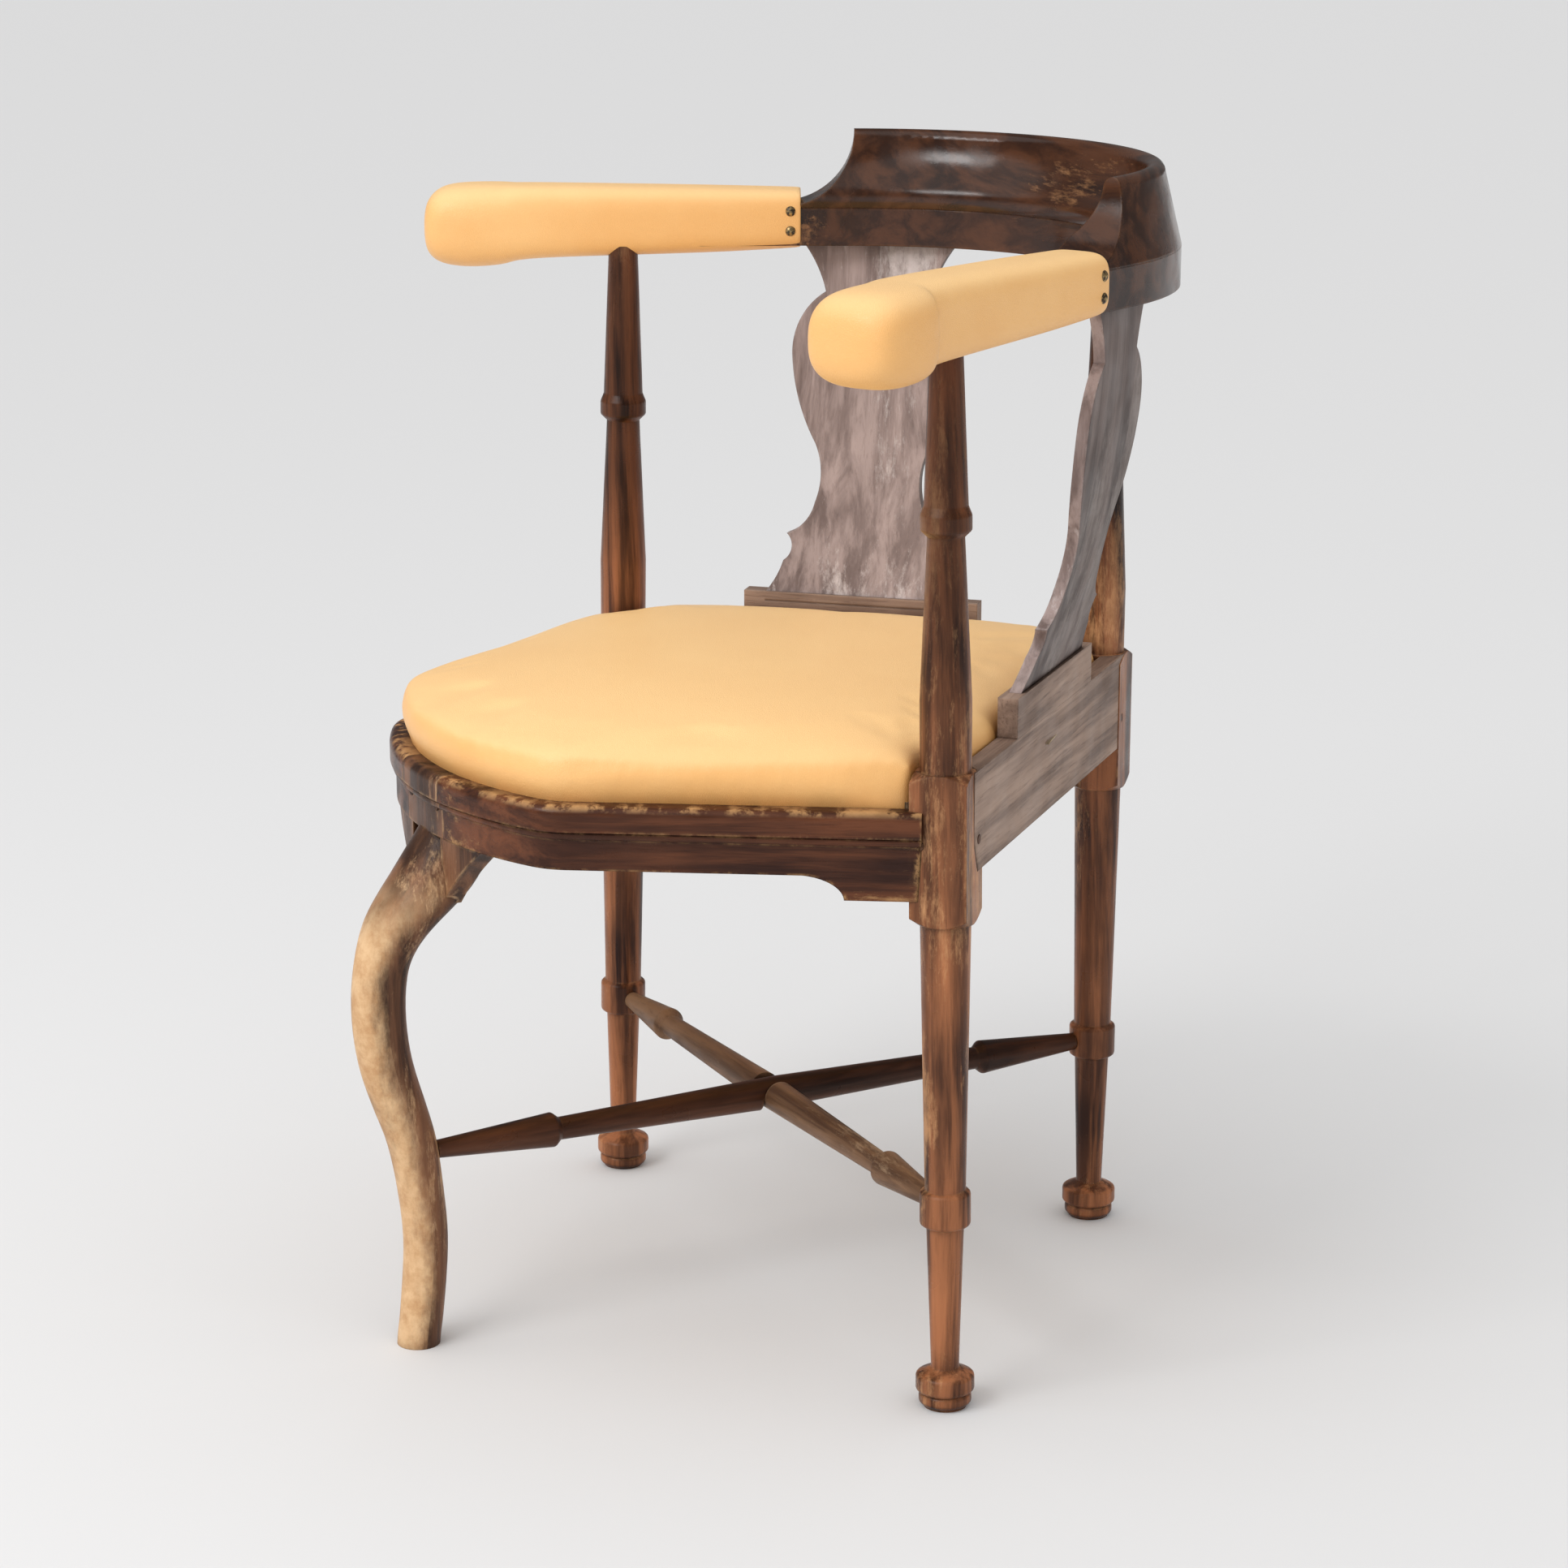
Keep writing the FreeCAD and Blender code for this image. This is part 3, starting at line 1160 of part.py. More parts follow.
def quadrant(name, left, at_front):
    # a quarter of the frame with the lower or upper half of the joints at both ends
    sx = 0 if left else -wide
    sy = -wide if at_front else 0
    deep = 60.0
    base = box(name + "_quarter", (wide, wide, deep), Vector(sx, sy, bar_low - 20))
    low_at_x = left
    low_at_y = at_front
    extra = []
    drop = []
    low_z, high_z = bar_low - 20, bar_middle
    for tag, lower, centre in (("x", low_at_x, Vector(0, -wide if at_front else 0, 0)),
                               ("y", low_at_y, Vector(0 if left else -wide, 0, 0))):
        mine, other = (low_z, high_z) if lower else (high_z, low_z)
        span = (2 * lap_half, wide) if tag == "x" else (wide, 2 * lap_half)
        corner = Vector(-lap_half, centre.y, 0) if tag == "x" else Vector(centre.x, -lap_half, 0)
        height = 20 + (bar_middle - bar_low) if lower else 40.0
        other_height = 40.0 if lower else 20 + (bar_middle - bar_low)
        extra.append(box(name + "_lap_" + tag, (span[0], span[1], height), corner + UP * mine))
        drop.append(box(name + "_free_" + tag, (span[0], span[1], other_height), corner + UP * other))
    return joined(name + "_zone", [less(name + "_cut", base, drop)] + extra)


seat_bars = []
tack_places = []


def tack_group(grow):
    tacks = []
    for point in tack_places:
        disc = Part.makeCylinder(size("tack_radius") + grow, 1.2, point + UP * (ledge - 0.9), UP)
        shank = Part.makeCylinder(0.8 + grow, 8 + grow, point + UP * (ledge - 0.5), UP)
        tacks.append(disc.fuse(shank))
    return Part.makeCompound(tacks)


def spread_along(one, two, count):
    return [one + (two - one) * ((index + 0.5) / count) for index in range(count)]


inner_points = seat_points(35, 16.5, 1.0)
arc_points = [polar(bow_middle, front_radius - 35, math.radians(angle)) for angle in (10, 22)]
half_places = (spread_along(inner_points[0], inner_points[1], 4)
               + spread_along(inner_points[3], inner_points[4], 6) + arc_points)
tack_places = half_places + [mirrored(point) for point in half_places]
seat_tacks = node(feature("seat_tacks", tack_group(0)), "seat_tacks")
tack_holes = feature("tack_holes", tack_group(0.05))
for is_left in (True, False):
    for at_front in (True, False):
        label = "seat_%s_%s_bar" % ("front" if at_front else "back", "left" if is_left else "right")
        zone = quadrant(label, is_left, at_front)
        piece = shared(label + "_piece", seat_frame, zone)
        seat_bars.append(node(less(label, piece, [tack_holes]), label))

strap_area = feature("strap_area", seat_prism(bar_high - 1, hessian_high + 5, rest + 14, seat_gap + 14))


def straps(name, direction, low):
    across = Vector(-direction.y, direction.x, 0)
    turn = Rotation(direction, across, UP, "XYZ")
    strips = []
    for index in (-1, 0, 1):
        base = (across * (index * size("web_width") * 1.75 - size("web_width") / 2)
                - direction * 400 + UP * low)
        strips.append(box("%s_%d" % (name, index + 1), (800, size("web_width"), web), base, turn))
    return node(shared(name, joined(name + "_strips", strips), strap_area), name)


webbing_lower = straps("webbing_lower", run, bar_high)
webbing_upper = straps("webbing_upper", mirrored(run), bar_high + web)
hessian = node(feature("hessian", seat_prism(hessian_low, hessian_high, rest + 9, seat_gap + 9)),
               "hessian")
outer_cushion = feature("outer_cushion", cushion(0, ledge))
inner_cushion = feature("inner_cushion", cushion(hide, bar_low))
under_opening = feature("under_opening", seat_prism(ledge - 5, bar_low + 1, rest, seat_gap, 0.84))
node(less("seat_cover", outer_cushion, [inner_cushion, under_opening, tack_holes]), "seat_cover")
below_padding = feature("below_padding", seat_prism(bar_low - 5, bar_high, rest - 5, seat_gap - 0.5)
                        .fuse(seat_prism(bar_high - 1, hessian_high, rest + 9, seat_gap + 9)))
node(less("seat_padding", inner_cushion, [below_padding]), "seat_padding")

doc.recompute()
for obj in doc.Objects:
    if "Invalid" in obj.State or "Error" in obj.State:
        raise RuntimeError(obj.Name + " failed: " + str(obj.State))
os.makedirs("parts", exist_ok=True)
for obj in nodes:
    if obj.Shape.isNull() or not obj.Shape.isValid() or not obj.Shape.Solids:
        raise RuntimeError(obj.Label + " has no valid solid")
    print(obj.Label, len(obj.Shape.Solids), round(obj.Shape.Volume / 1000, 2))
    obj.Shape.exportStep("parts/%s.step" % obj.Label)
box_all = Part.makeCompound([obj.Shape for obj in nodes]).optimalBoundingBox()
print("outline", [round(value, 2) for value in (box_all.XMin, box_all.XMax, box_all.YMin,
                                                 box_all.YMax, box_all.ZMin, box_all.ZMax)])
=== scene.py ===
import bmesh
import bpy
import math
from mathutils import Matrix, Vector


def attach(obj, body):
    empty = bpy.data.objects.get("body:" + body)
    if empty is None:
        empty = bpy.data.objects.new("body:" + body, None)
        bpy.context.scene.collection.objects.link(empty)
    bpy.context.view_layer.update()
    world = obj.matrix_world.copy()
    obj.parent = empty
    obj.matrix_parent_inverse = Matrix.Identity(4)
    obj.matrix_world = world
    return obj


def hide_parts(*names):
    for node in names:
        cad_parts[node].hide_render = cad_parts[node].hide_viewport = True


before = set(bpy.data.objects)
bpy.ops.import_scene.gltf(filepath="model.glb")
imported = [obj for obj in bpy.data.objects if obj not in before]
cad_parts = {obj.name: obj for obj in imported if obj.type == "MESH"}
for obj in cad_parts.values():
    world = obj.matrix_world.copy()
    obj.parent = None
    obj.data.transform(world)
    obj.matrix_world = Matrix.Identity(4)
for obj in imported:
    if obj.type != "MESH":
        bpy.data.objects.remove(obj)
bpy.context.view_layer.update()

print("frame loaded:", len(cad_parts), "nodes")


# Small helpers for nodes, meshes and modifiers

def addNode(tree, kind, settings=None, **values):
    node = tree.nodes.new("ShaderNode" + kind)
    for key, value in (settings or {}).items():
        setattr(node, key, value)
    for key, value in values.items():  # i0, i1 for numbered sockets, otherwise the socket's name
        numbered = key[0] == "i" and key[1:].isdigit()
        socket = node.inputs[int(key[1:])] if numbered else node.inputs[key.replace("_", " ")]
        if isinstance(value, bpy.types.NodeSocket):
            tree.links.new(value, socket)
        else:
            socket.default_value = value
    return node


def newGroup(name, inputs, outputs):
    tree = bpy.data.node_groups.new(name, "ShaderNodeTree")
    for label, kind, value in inputs:
        socket = tree.interface.new_socket(label, in_out="INPUT", socket_type="NodeSocket" + kind)
        if value is not None:
            socket.default_value = value
    for label, kind in outputs:
        tree.interface.new_socket(label, in_out="OUTPUT", socket_type="NodeSocket" + kind)
    return tree, tree.nodes.new("NodeGroupInput").outputs, tree.nodes.new("NodeGroupOutput").inputs


def useGroup(tree, group, **values):
    node = tree.nodes.new("ShaderNodeGroup")
    node.node_tree = group
    for key, value in values.items():
        socket = node.inputs[key.replace("_", " ")]
        if isinstance(value, bpy.types.NodeSocket):
            tree.links.new(value, socket)
        else:
            socket.default_value = value
    return node


def math2(tree, operation, first, second=0.5, clamp=False, third=None):  # some operations take one value
    values = {"i0": first, "i1": second}
    if third is not None:
        values["i2"] = third
    settings = {"operation": operation, "use_clamp": clamp}
    return addNode(tree, "Math", settings, **values).outputs[0]


def ramp(tree, factor, low, high):  # 0 below low, 1 above high
    return addNode(tree, "MapRange", {"interpolation_type": "SMOOTHSTEP"},
                   Value=factor, From_Min=low, From_Max=high).outputs["Result"]


def mixColour(tree, factor, first, second, blend="MIX"):  # sockets 6 and 7 take the colours
    node = addNode(tree, "Mix", {"data_type": "RGBA", "blend_type": blend}, i0=factor, i6=first, i7=second)
    return node.outputs[2]


def noise(tree, vector, scale, detail, roughness=0.5):
    node = addNode(tree, "TexNoise", Vector=vector, Scale=scale, Detail=detail, Roughness=roughness)
    return node.outputs[0]


def axisOf(tree, vector, axis):  # one coordinate of a vector, 0 to 2
    return addNode(tree, "SeparateXYZ", Vector=vector).outputs[axis]


def darkened(tree, factor, colour, shade):
    return mixColour(tree, factor, colour, mixColour(tree, 1.0, colour, (*shade, 1), "MULTIPLY"))


def newMaterial(name):
    material = bpy.data.materials.new(name)
    material.use_nodes = True
    tree = material.node_tree
    tree.nodes.clear()
    surface = addNode(tree, "BsdfPrincipled")
    output = addNode(tree, "OutputMaterial")
    tree.links.new(surface.outputs[0], output.inputs["Surface"])
    return material, tree, surface


def finishPiece(name, bm, material):
    mesh = bpy.data.meshes.new(name)
    bm.to_mesh(mesh)
    bm.free()
    piece = bpy.data.objects.new(name, mesh)
    bpy.context.scene.collection.objects.link(piece)
    mesh.materials.append(material)
    mesh.polygons.foreach_set("use_smooth", [True] * len(mesh.polygons))
    return piece


def bakeModifiers(piece):  # keeps the object and its materials, with every modifier in its mesh
    bpy.context.view_layer.update()
    seen = piece.evaluated_get(bpy.context.evaluated_depsgraph_get())
    mesh = bpy.data.meshes.new_from_object(seen)
    piece.modifiers.clear()
    piece.data = mesh
    mesh.polygons.foreach_set("use_smooth", [True] * len(mesh.polygons))


# Surface effects shared by the materials

grainLook = {  # noise scales per metre; the grain runs along Z
    "stretch": 0.055, "warpScale": 26.0, "warp": 0.035, "figureScale": 62.0, "figure": (0.38, 0.64),
    "fibreScale": 520.0, "pores": (0.34, 0.48), "poreShade": (0.35, 0.30, 0.28), "broadScale": 9.0,
    "broad": (0.3, 0.75), "streakShare": 0.65, "relief": 0.25,
}


def makeWoodGrain():
    look = grainLook
    tree, given, made = newGroup("woodGrain", [
        ("Vector", "Vector", None), ("Dark", "Color", (0.05, 0.02, 0.01, 1)),
        ("Light", "Color", (0.2, 0.08, 0.04, 1)), ("Pores", "Float", 0.5)],
        [("Colour", "Color"), ("Height", "Float")])
    long = addNode(tree, "Mapping", Vector=given["Vector"], Scale=(1, 1, look["stretch"])).outputs[0]
    warp = addNode(tree, "TexNoise", Vector=long, Scale=look["warpScale"], Detail=2.0)
    bent = addNode(tree, "VectorMath", {"operation": "MULTIPLY_ADD"}, i0=warp.outputs["Color"],
                   i1=(look["warp"], look["warp"], 0.0), i2=long).outputs[0]
    figure = noise(tree, bent, look["figureScale"], 5.0, 0.62)
    fibre = noise(tree, long, look["fibreScale"], 4.0, 0.7)
    broad = noise(tree, given["Vector"], look["broadScale"], 3.0)
    streak = math2(tree, "MULTIPLY", ramp(tree, figure, *look["figure"]), look["streakShare"])
    tone = math2(tree, "MULTIPLY", ramp(tree, broad, *look["broad"]), 1.0 - look["streakShare"])
    base = mixColour(tree, math2(tree, "ADD", streak, tone, True), given["Dark"], given["Light"])
    pores = math2(tree, "SUBTRACT", 1.0, ramp(tree, fibre, *look["pores"]))
    openPores = math2(tree, "MULTIPLY", pores, given["Pores"], True)
    tree.links.new(mixColour(tree, openPores, base, (*look["poreShade"], 1), "MULTIPLY"), made["Colour"])
    relief = math2(tree, "MULTIPLY", figure, look["relief"])
    tree.links.new(math2(tree, "SUBTRACT", relief, openPores), made["Height"])
    return tree


wearLook = {"radius": 0.004, "scale": 60.0, "broken": (0.43, 0.62), "bend": (0.03, 0.20)}


def makeEdgeWear():
    look = wearLook
    tree, given, made = newGroup("edgeWear", [
        ("Vector", "Vector", None), ("Amount", "Float", 1.0)], [("Mask", "Float")])
    rounded = addNode(tree, "Bevel", {"samples": 6}, Radius=look["radius"]).outputs[0]
    flat = addNode(tree, "NewGeometry").outputs["Normal"]
    together = addNode(tree, "VectorMath", {"operation": "DOT_PRODUCT"}, i0=rounded, i1=flat)
    bend = math2(tree, "SUBTRACT", 1.0, together.outputs["Value"], True)
    chipped = ramp(tree, noise(tree, given["Vector"], look["scale"], 6.0, 0.75), *look["broken"])
    wear = math2(tree, "MULTIPLY", ramp(tree, bend, *look["bend"]), chipped)
    tree.links.new(math2(tree, "MULTIPLY", wear, given["Amount"], True), made["Mask"])
    return tree


rubLook = {"stretch": 0.22, "broadScale": 14.0, "fineScale": 170.0, "broadShare": 0.62,
           "level": 0.78, "reach": 0.36, "sharpness": 14.0}


def makeRubbing():
    look = rubLook
    tree, given, made = newGroup("rubbedPatches", [
        ("Vector", "Vector", None), ("Amount", "Float", 0.5)], [("Mask", "Float")])
    streaky = addNode(tree, "Mapping", Vector=given["Vector"], Scale=(1, 1, look["stretch"])).outputs[0]
    broad = noise(tree, streaky, look["broadScale"], 3.0)
    fine = noise(tree, streaky, look["fineScale"], 8.0, 0.8)
    both = math2(tree, "ADD", math2(tree, "MULTIPLY", broad, look["broadShare"]),
                 math2(tree, "MULTIPLY", fine, 1.0 - look["broadShare"]))
    edge = math2(tree, "SUBTRACT", look["level"], math2(tree, "MULTIPLY", given["Amount"], look["reach"]))
    above = math2(tree, "MULTIPLY", math2(tree, "SUBTRACT", both, edge), look["sharpness"], True)
    tree.links.new(above, made["Mask"])
    return tree


hideLook = {"pebbleScale": 900.0, "pebble": (0.0, 0.22), "pebbleRise": 0.6, "fineScale": 1500.0,
            "fineRise": 0.3, "softScale": 45.0, "softRise": 1.5, "toneScale": 7.0, "tone": (0.32, 0.70)}


def makeLeatherGrain():
    look = hideLook
    tree, given, made = newGroup("leatherGrain", [("Vector", "Vector", None)],
                                 [("Height", "Float"), ("Tone", "Float")])
    place = given["Vector"]
    cells = addNode(tree, "TexVoronoi", {"feature": "DISTANCE_TO_EDGE"}, Vector=place,
                    Scale=look["pebbleScale"]).outputs["Distance"]
    pebble = math2(tree, "MULTIPLY", ramp(tree, cells, *look["pebble"]), look["pebbleRise"])
    fine = math2(tree, "MULTIPLY", noise(tree, place, look["fineScale"], 3.0), look["fineRise"])
    soft = math2(tree, "MULTIPLY", noise(tree, place, look["softScale"], 4.0), look["softRise"])
    height = math2(tree, "ADD", math2(tree, "ADD", pebble, fine), soft)
    tree.links.new(height, made["Height"])
    tone = noise(tree, place, look["toneScale"], 5.0, 0.55)
    tree.links.new(ramp(tree, tone, *look["tone"]), made["Tone"])
    return tree


woodGrain = makeWoodGrain()
edgeWear = makeEdgeWear()
rubbedPatches = makeRubbing()
leatherGrain = makeLeatherGrain()

# each wood: grain colours, colour where worn, amounts, gloss and the direction of the grain
backRail = dict(dark=(0.150, 0.095, 0.070), light=(0.42, 0.290, 0.22), worn=(0.60, 0.44, 0.33),
                edge=0.3, rub=0.40, pores=0.4, rough=0.50, relief=0.4)
frontRail = dict(dark=(0.024, 0.007, 0.004), light=(0.17, 0.055, 0.022), worn=(0.64, 0.36, 0.15),
                 edge=0.6, rub=0.60, pores=0.3, rough=0.32, relief=0.3)
backTurn, frontTurn = 42.8, 31.4  # how far the rails stand from straight back, seen from above
woods = {
    "postWood": dict(dark=(0.018, 0.005, 0.003), light=(0.44, 0.165, 0.068), worn=(0.70, 0.37, 0.17),
                     edge=0.5, rub=0.66, pores=0.25, rough=0.30, relief=0.25, turn=(0, 0, 0)),
    "crestWood": dict(dark=(0.018, 0.006, 0.003), light=(0.095, 0.034, 0.014), worn=(0.46, 0.22, 0.09),
                      edge=0.2, rub=0.42, pores=0.15, rough=0.20, relief=0.15, turn=(0, 90, 0), gloss=0.45),
    "leftRailWood": dict(backRail, turn=(90, 0, backTurn)),
    "rightRailWood": dict(backRail, turn=(90, 0, -backTurn)),
    "splatWood": dict(dark=(0.15, 0.105, 0.094), light=(0.47, 0.365, 0.340), worn=(0.86, 0.78, 0.76),
                      edge=0.3, rub=0.74, pores=0.2, rough=0.46, relief=0.3, turn=(0, 0, 0)),
    "leftFrontWood": dict(frontRail, turn=(90, 0, -frontTurn)),
    "rightFrontWood": dict(frontRail, turn=(90, 0, frontTurn)),
    "kneeWood": dict(dark=(0.020, 0.008, 0.005), light=(0.22, 0.095, 0.045), worn=(0.84, 0.56, 0.31),
                     wornShade=(0.72, 0.60, 0.50), edge=0.5, rub=0.55, pores=0.3, rough=0.36, relief=0.4,
                     turn=(0, 0, 0)),
    "longRodWood": dict(dark=(0.018, 0.007, 0.004), light=(0.12, 0.042, 0.018), worn=(0.42, 0.22, 0.10),
                        edge=0.6, rub=0.50, pores=0.2, rough=0.32, relief=0.25, turn=(90, 0, 0)),
    "crossRodWood": dict(dark=(0.065, 0.030, 0.016), light=(0.29, 0.16, 0.085), worn=(0.58, 0.40, 0.24),
                         edge=0.6, rub=0.62, pores=0.3, rough=0.42, relief=0.4, turn=(0, 90, 0)),
    "rawWood": dict(dark=(0.28, 0.17, 0.09), light=(0.48, 0.33, 0.19), worn=(0.52, 0.38, 0.24),
                    edge=0.2, rub=0.3, pores=0.6, rough=0.75, relief=0.6, turn=(90, 0, backTurn)),
    "pegWood": dict(dark=(0.030, 0.012, 0.008), light=(0.16, 0.07, 0.035), worn=(0.40, 0.24, 0.12),
                    edge=0.2, rub=0.3, pores=0.5, rough=0.5, relief=0.4, turn=(90, 0, 45)),
}
plainWood = {"gloss": 0.22, "wornShade": (0.62, 0.60, 0.58)}  # where a wood doesn't say otherwise
# the paintedShade keys give painted shade in corners and contacts, found by ambient occlusion
woodLook = {"rubbed": 0.6, "tintScale": 70.0, "tint": (0.30, 0.68), "paintedShadeReach": 0.018,
            "paintedShade": (0.15, 0.85), "paintedShadeColour": (0.30, 0.26, 0.24), "roughScale": 38.0,
            "roughPatches": (0.3, 0.7), "roughSpread": 0.16, "roughShift": 0.06, "wornRough": 0.14,
            "arris": 0.0014, "wornDepth": 0.5, "bump": 0.0006}
# the knee's front: real wear together with painted light, chosen by which way the surface faces
kneeWornAndLit = {"toward": (0.30, -0.93, 0.20), "stretch": 0.35, "scale": 30.0, "patches": 2.0, "shift": -0.93,
            "edge": (0.10, 1.0), "knee": (0.285, 0.345), "most": 0.88}
lipBare = {"level": (0.4035, 0.4085), "scale": 55.0, "broken": (0.44, 0.56), "most": 0.85}
columns = {"level": (0.43, 0.56), "most": 0.75, "shade": (0.15, 0.12, 0.11)}
# painted shade on the outer faces of the back splats
splatPaintedShade = {"facing": (-0.2, 0.3), "shade": (0.42, 0.40, 0.38)}


def faceNormal(tree):
    return addNode(tree, "NewGeometry").outputs["Normal"]


def wornAndLitFront(tree, place):  # the front of the cabriole leg, from the knee down: worn bare, and also painted light, paler where the surface faces the front and darker on the side
    look = kneeWornAndLit
    facing = addNode(tree, "VectorMath", {"operation": "DOT_PRODUCT"}, i0=faceNormal(tree),
                     i1=look["toward"]).outputs["Value"]
    streaky = addNode(tree, "Mapping", Vector=place, Scale=(1, 1, look["stretch"])).outputs[0]
    patchy = noise(tree, streaky, look["scale"], 8.0, 0.72)
    patches = math2(tree, "MULTIPLY_ADD", patchy, look["patches"], third=look["shift"])
    toward = ramp(tree, math2(tree, "ADD", facing, patches), *look["edge"])
    below = math2(tree, "SUBTRACT", 1.0, ramp(tree, axisOf(tree, place, 2), *look["knee"]))
    return math2(tree, "MULTIPLY", toward, math2(tree, "MULTIPLY", below, look["most"]))


def bareLip(tree, place, along):  # the moulded lip has lost its stain in places
    look = lipBare
    chipped = ramp(tree, noise(tree, along, look["scale"], 7.0, 0.7), *look["broken"])
    bared = math2(tree, "MULTIPLY", ramp(tree, axisOf(tree, place, 2), *look["level"]), chipped)
    return math2(tree, "MULTIPLY", bared, look["most"])


def darkerPlaces(tree, name, place, colour):
    if name == "postWood":  # the columns are darker than the legs
        high = ramp(tree, axisOf(tree, place, 2), *columns["level"])
        return darkened(tree, math2(tree, "MULTIPLY", high, columns["most"]), colour, columns["shade"])
    if name == "splatWood":  # painted shade: the outside of the back is darker, where less light falls
        outside = ramp(tree, axisOf(tree, faceNormal(tree), 1), *splatPaintedShade["facing"])
        return darkened(tree, outside, colour, splatPaintedShade["shade"])
    return colour


def withPaintedShade(tree, colour, reach, band, shade):  # painted shade: darker in corners and contacts, found by ambient occlusion
    corner = addNode(tree, "AmbientOcclusion", {"samples": 4}, Distance=reach).outputs["AO"]
    paintedShade = mixColour(tree, ramp(tree, corner, *band), (*shade, 1), (1, 1, 1, 1))
    return mixColour(tree, 1.0, colour, paintedShade, "MULTIPLY")


def makeWood(name):
    look = {**plainWood, **woods[name]}
    shared = woodLook
    material, tree, surface = newMaterial(name)
    place = addNode(tree, "TexCoord").outputs["Object"]
    turn = [math.radians(angle) for angle in look["turn"]]
    along = addNode(tree, "Mapping", {"vector_type": "TEXTURE"}, Vector=place, Rotation=turn).outputs[0]
    grain = useGroup(tree, woodGrain, Vector=along, Dark=(*look["dark"], 1), Light=(*look["light"], 1),
                     Pores=look["pores"])
    edge = useGroup(tree, edgeWear, Vector=place, Amount=look["edge"])
    rub = useGroup(tree, rubbedPatches, Vector=along, Amount=look["rub"])
    rubbed = math2(tree, "MULTIPLY", rub.outputs["Mask"], shared["rubbed"])
    # the leg's front: wear together with painted light, paler where it faces the front
    if name == "kneeWood":
        rubbed = math2(tree, "MAXIMUM", rubbed, wornAndLitFront(tree, place))
    if name in ("leftFrontWood", "rightFrontWood"):
        rubbed = math2(tree, "MAXIMUM", rubbed, bareLip(tree, place, along))
    worn = math2(tree, "MAXIMUM", edge.outputs["Mask"], rubbed)
    shaded = [share * value for share, value in zip(look["wornShade"], look["worn"])]
    tint = ramp(tree, noise(tree, along, shared["tintScale"], 7.0, 0.7), *shared["tint"])
    bare = mixColour(tree, tint, (*shaded, 1), (*look["worn"], 1))
    colour = mixColour(tree, worn, grain.outputs["Colour"], bare)
    colour = darkerPlaces(tree, name, place, colour)
    # painted shade in the wood's corners and where parts meet
    colour = withPaintedShade(tree, colour, shared["paintedShadeReach"], shared["paintedShade"], shared["paintedShadeColour"])
    tree.links.new(colour, surface.inputs["Base Color"])
    patches = ramp(tree, noise(tree, place, shared["roughScale"], 5.0), *shared["roughPatches"])
    rough = math2(tree, "MULTIPLY_ADD", patches, shared["roughSpread"],
                  third=look["rough"] - shared["roughShift"])
    rough = math2(tree, "MULTIPLY_ADD", worn, shared["wornRough"], third=rough)
    tree.links.new(rough, surface.inputs["Roughness"])
    surface.inputs["Specular IOR Level"].default_value = look["gloss"]
    bevelled = addNode(tree, "Bevel", {"samples": 4}, Radius=shared["arris"]).outputs[0]
    height = math2(tree, "SUBTRACT", grain.outputs["Height"],
                   math2(tree, "MULTIPLY", worn, shared["wornDepth"]))
    bump = addNode(tree, "Bump", Strength=look["relief"], Distance=shared["bump"], Height=height,
                   Normal=bevelled)
    tree.links.new(bump.outputs[0], surface.inputs["Normal"])
    return material


# the paintedShade keys give painted shade in the leather's creases and where it meets other parts
leather = {"lit": (0.96, 0.560, 0.215), "deep": (0.90, 0.480, 0.160), "rough": 0.42,
           "paintedTopLight": (1.0, 0.690, 0.335), "upward": (0.2, 1.0), "paintedTopShare": 0.58,
           "paintedShadeReach": 0.02, "paintedShade": (0.2, 0.8), "paintedShadeColour": (0.66, 0.55, 0.46),
           "coat": 0.10, "coatRough": 0.35, "relief": 0.35, "bump": 0.0006}


def makeLeather():
    look = leather
    material, tree, surface = newMaterial("tanLeather")
    place = addNode(tree, "TexCoord").outputs["Object"]
    grain = useGroup(tree, leatherGrain, Vector=place)
    colour = mixColour(tree, grain.outputs["Tone"], (*look["deep"], 1), (*look["lit"], 1))
    # painted light: faces turned upward are lighter and paler
    upward = ramp(tree, axisOf(tree, faceNormal(tree), 2), *look["upward"])
    colour = mixColour(tree, math2(tree, "MULTIPLY", upward, look["paintedTopShare"]), colour, (*look["paintedTopLight"], 1))
    # painted shade in creases and where the leather meets other parts
    colour = withPaintedShade(tree, colour, look["paintedShadeReach"], look["paintedShade"], look["paintedShadeColour"])
    tree.links.new(colour, surface.inputs["Base Color"])
    surface.inputs["Roughness"].default_value = look["rough"]
    surface.inputs["Coat Weight"].default_value = look["coat"]
    surface.inputs["Coat Roughness"].default_value = look["coatRough"]
    bump = addNode(tree, "Bump", Strength=look["relief"], Distance=look["bump"],
                   Height=grain.outputs["Height"])
    tree.links.new(bump.outputs[0], surface.inputs["Normal"])
    return material


cloths = {  # colour of the threads, colour between them, threads per metre
    "juteWebbing": dict(thread=(0.46, 0.33, 0.19), gap=(0.14, 0.09, 0.05), count=700),
    "hessianCloth": dict(thread=(0.42, 0.32, 0.19), gap=(0.10, 0.07, 0.04), count=480),
}
clothLook = {"slubScale": 90.0, "slub": (0.1, 0.8), "rough": 0.9, "sheen": 0.2, "relief": 0.7, "bump": 0.0008}


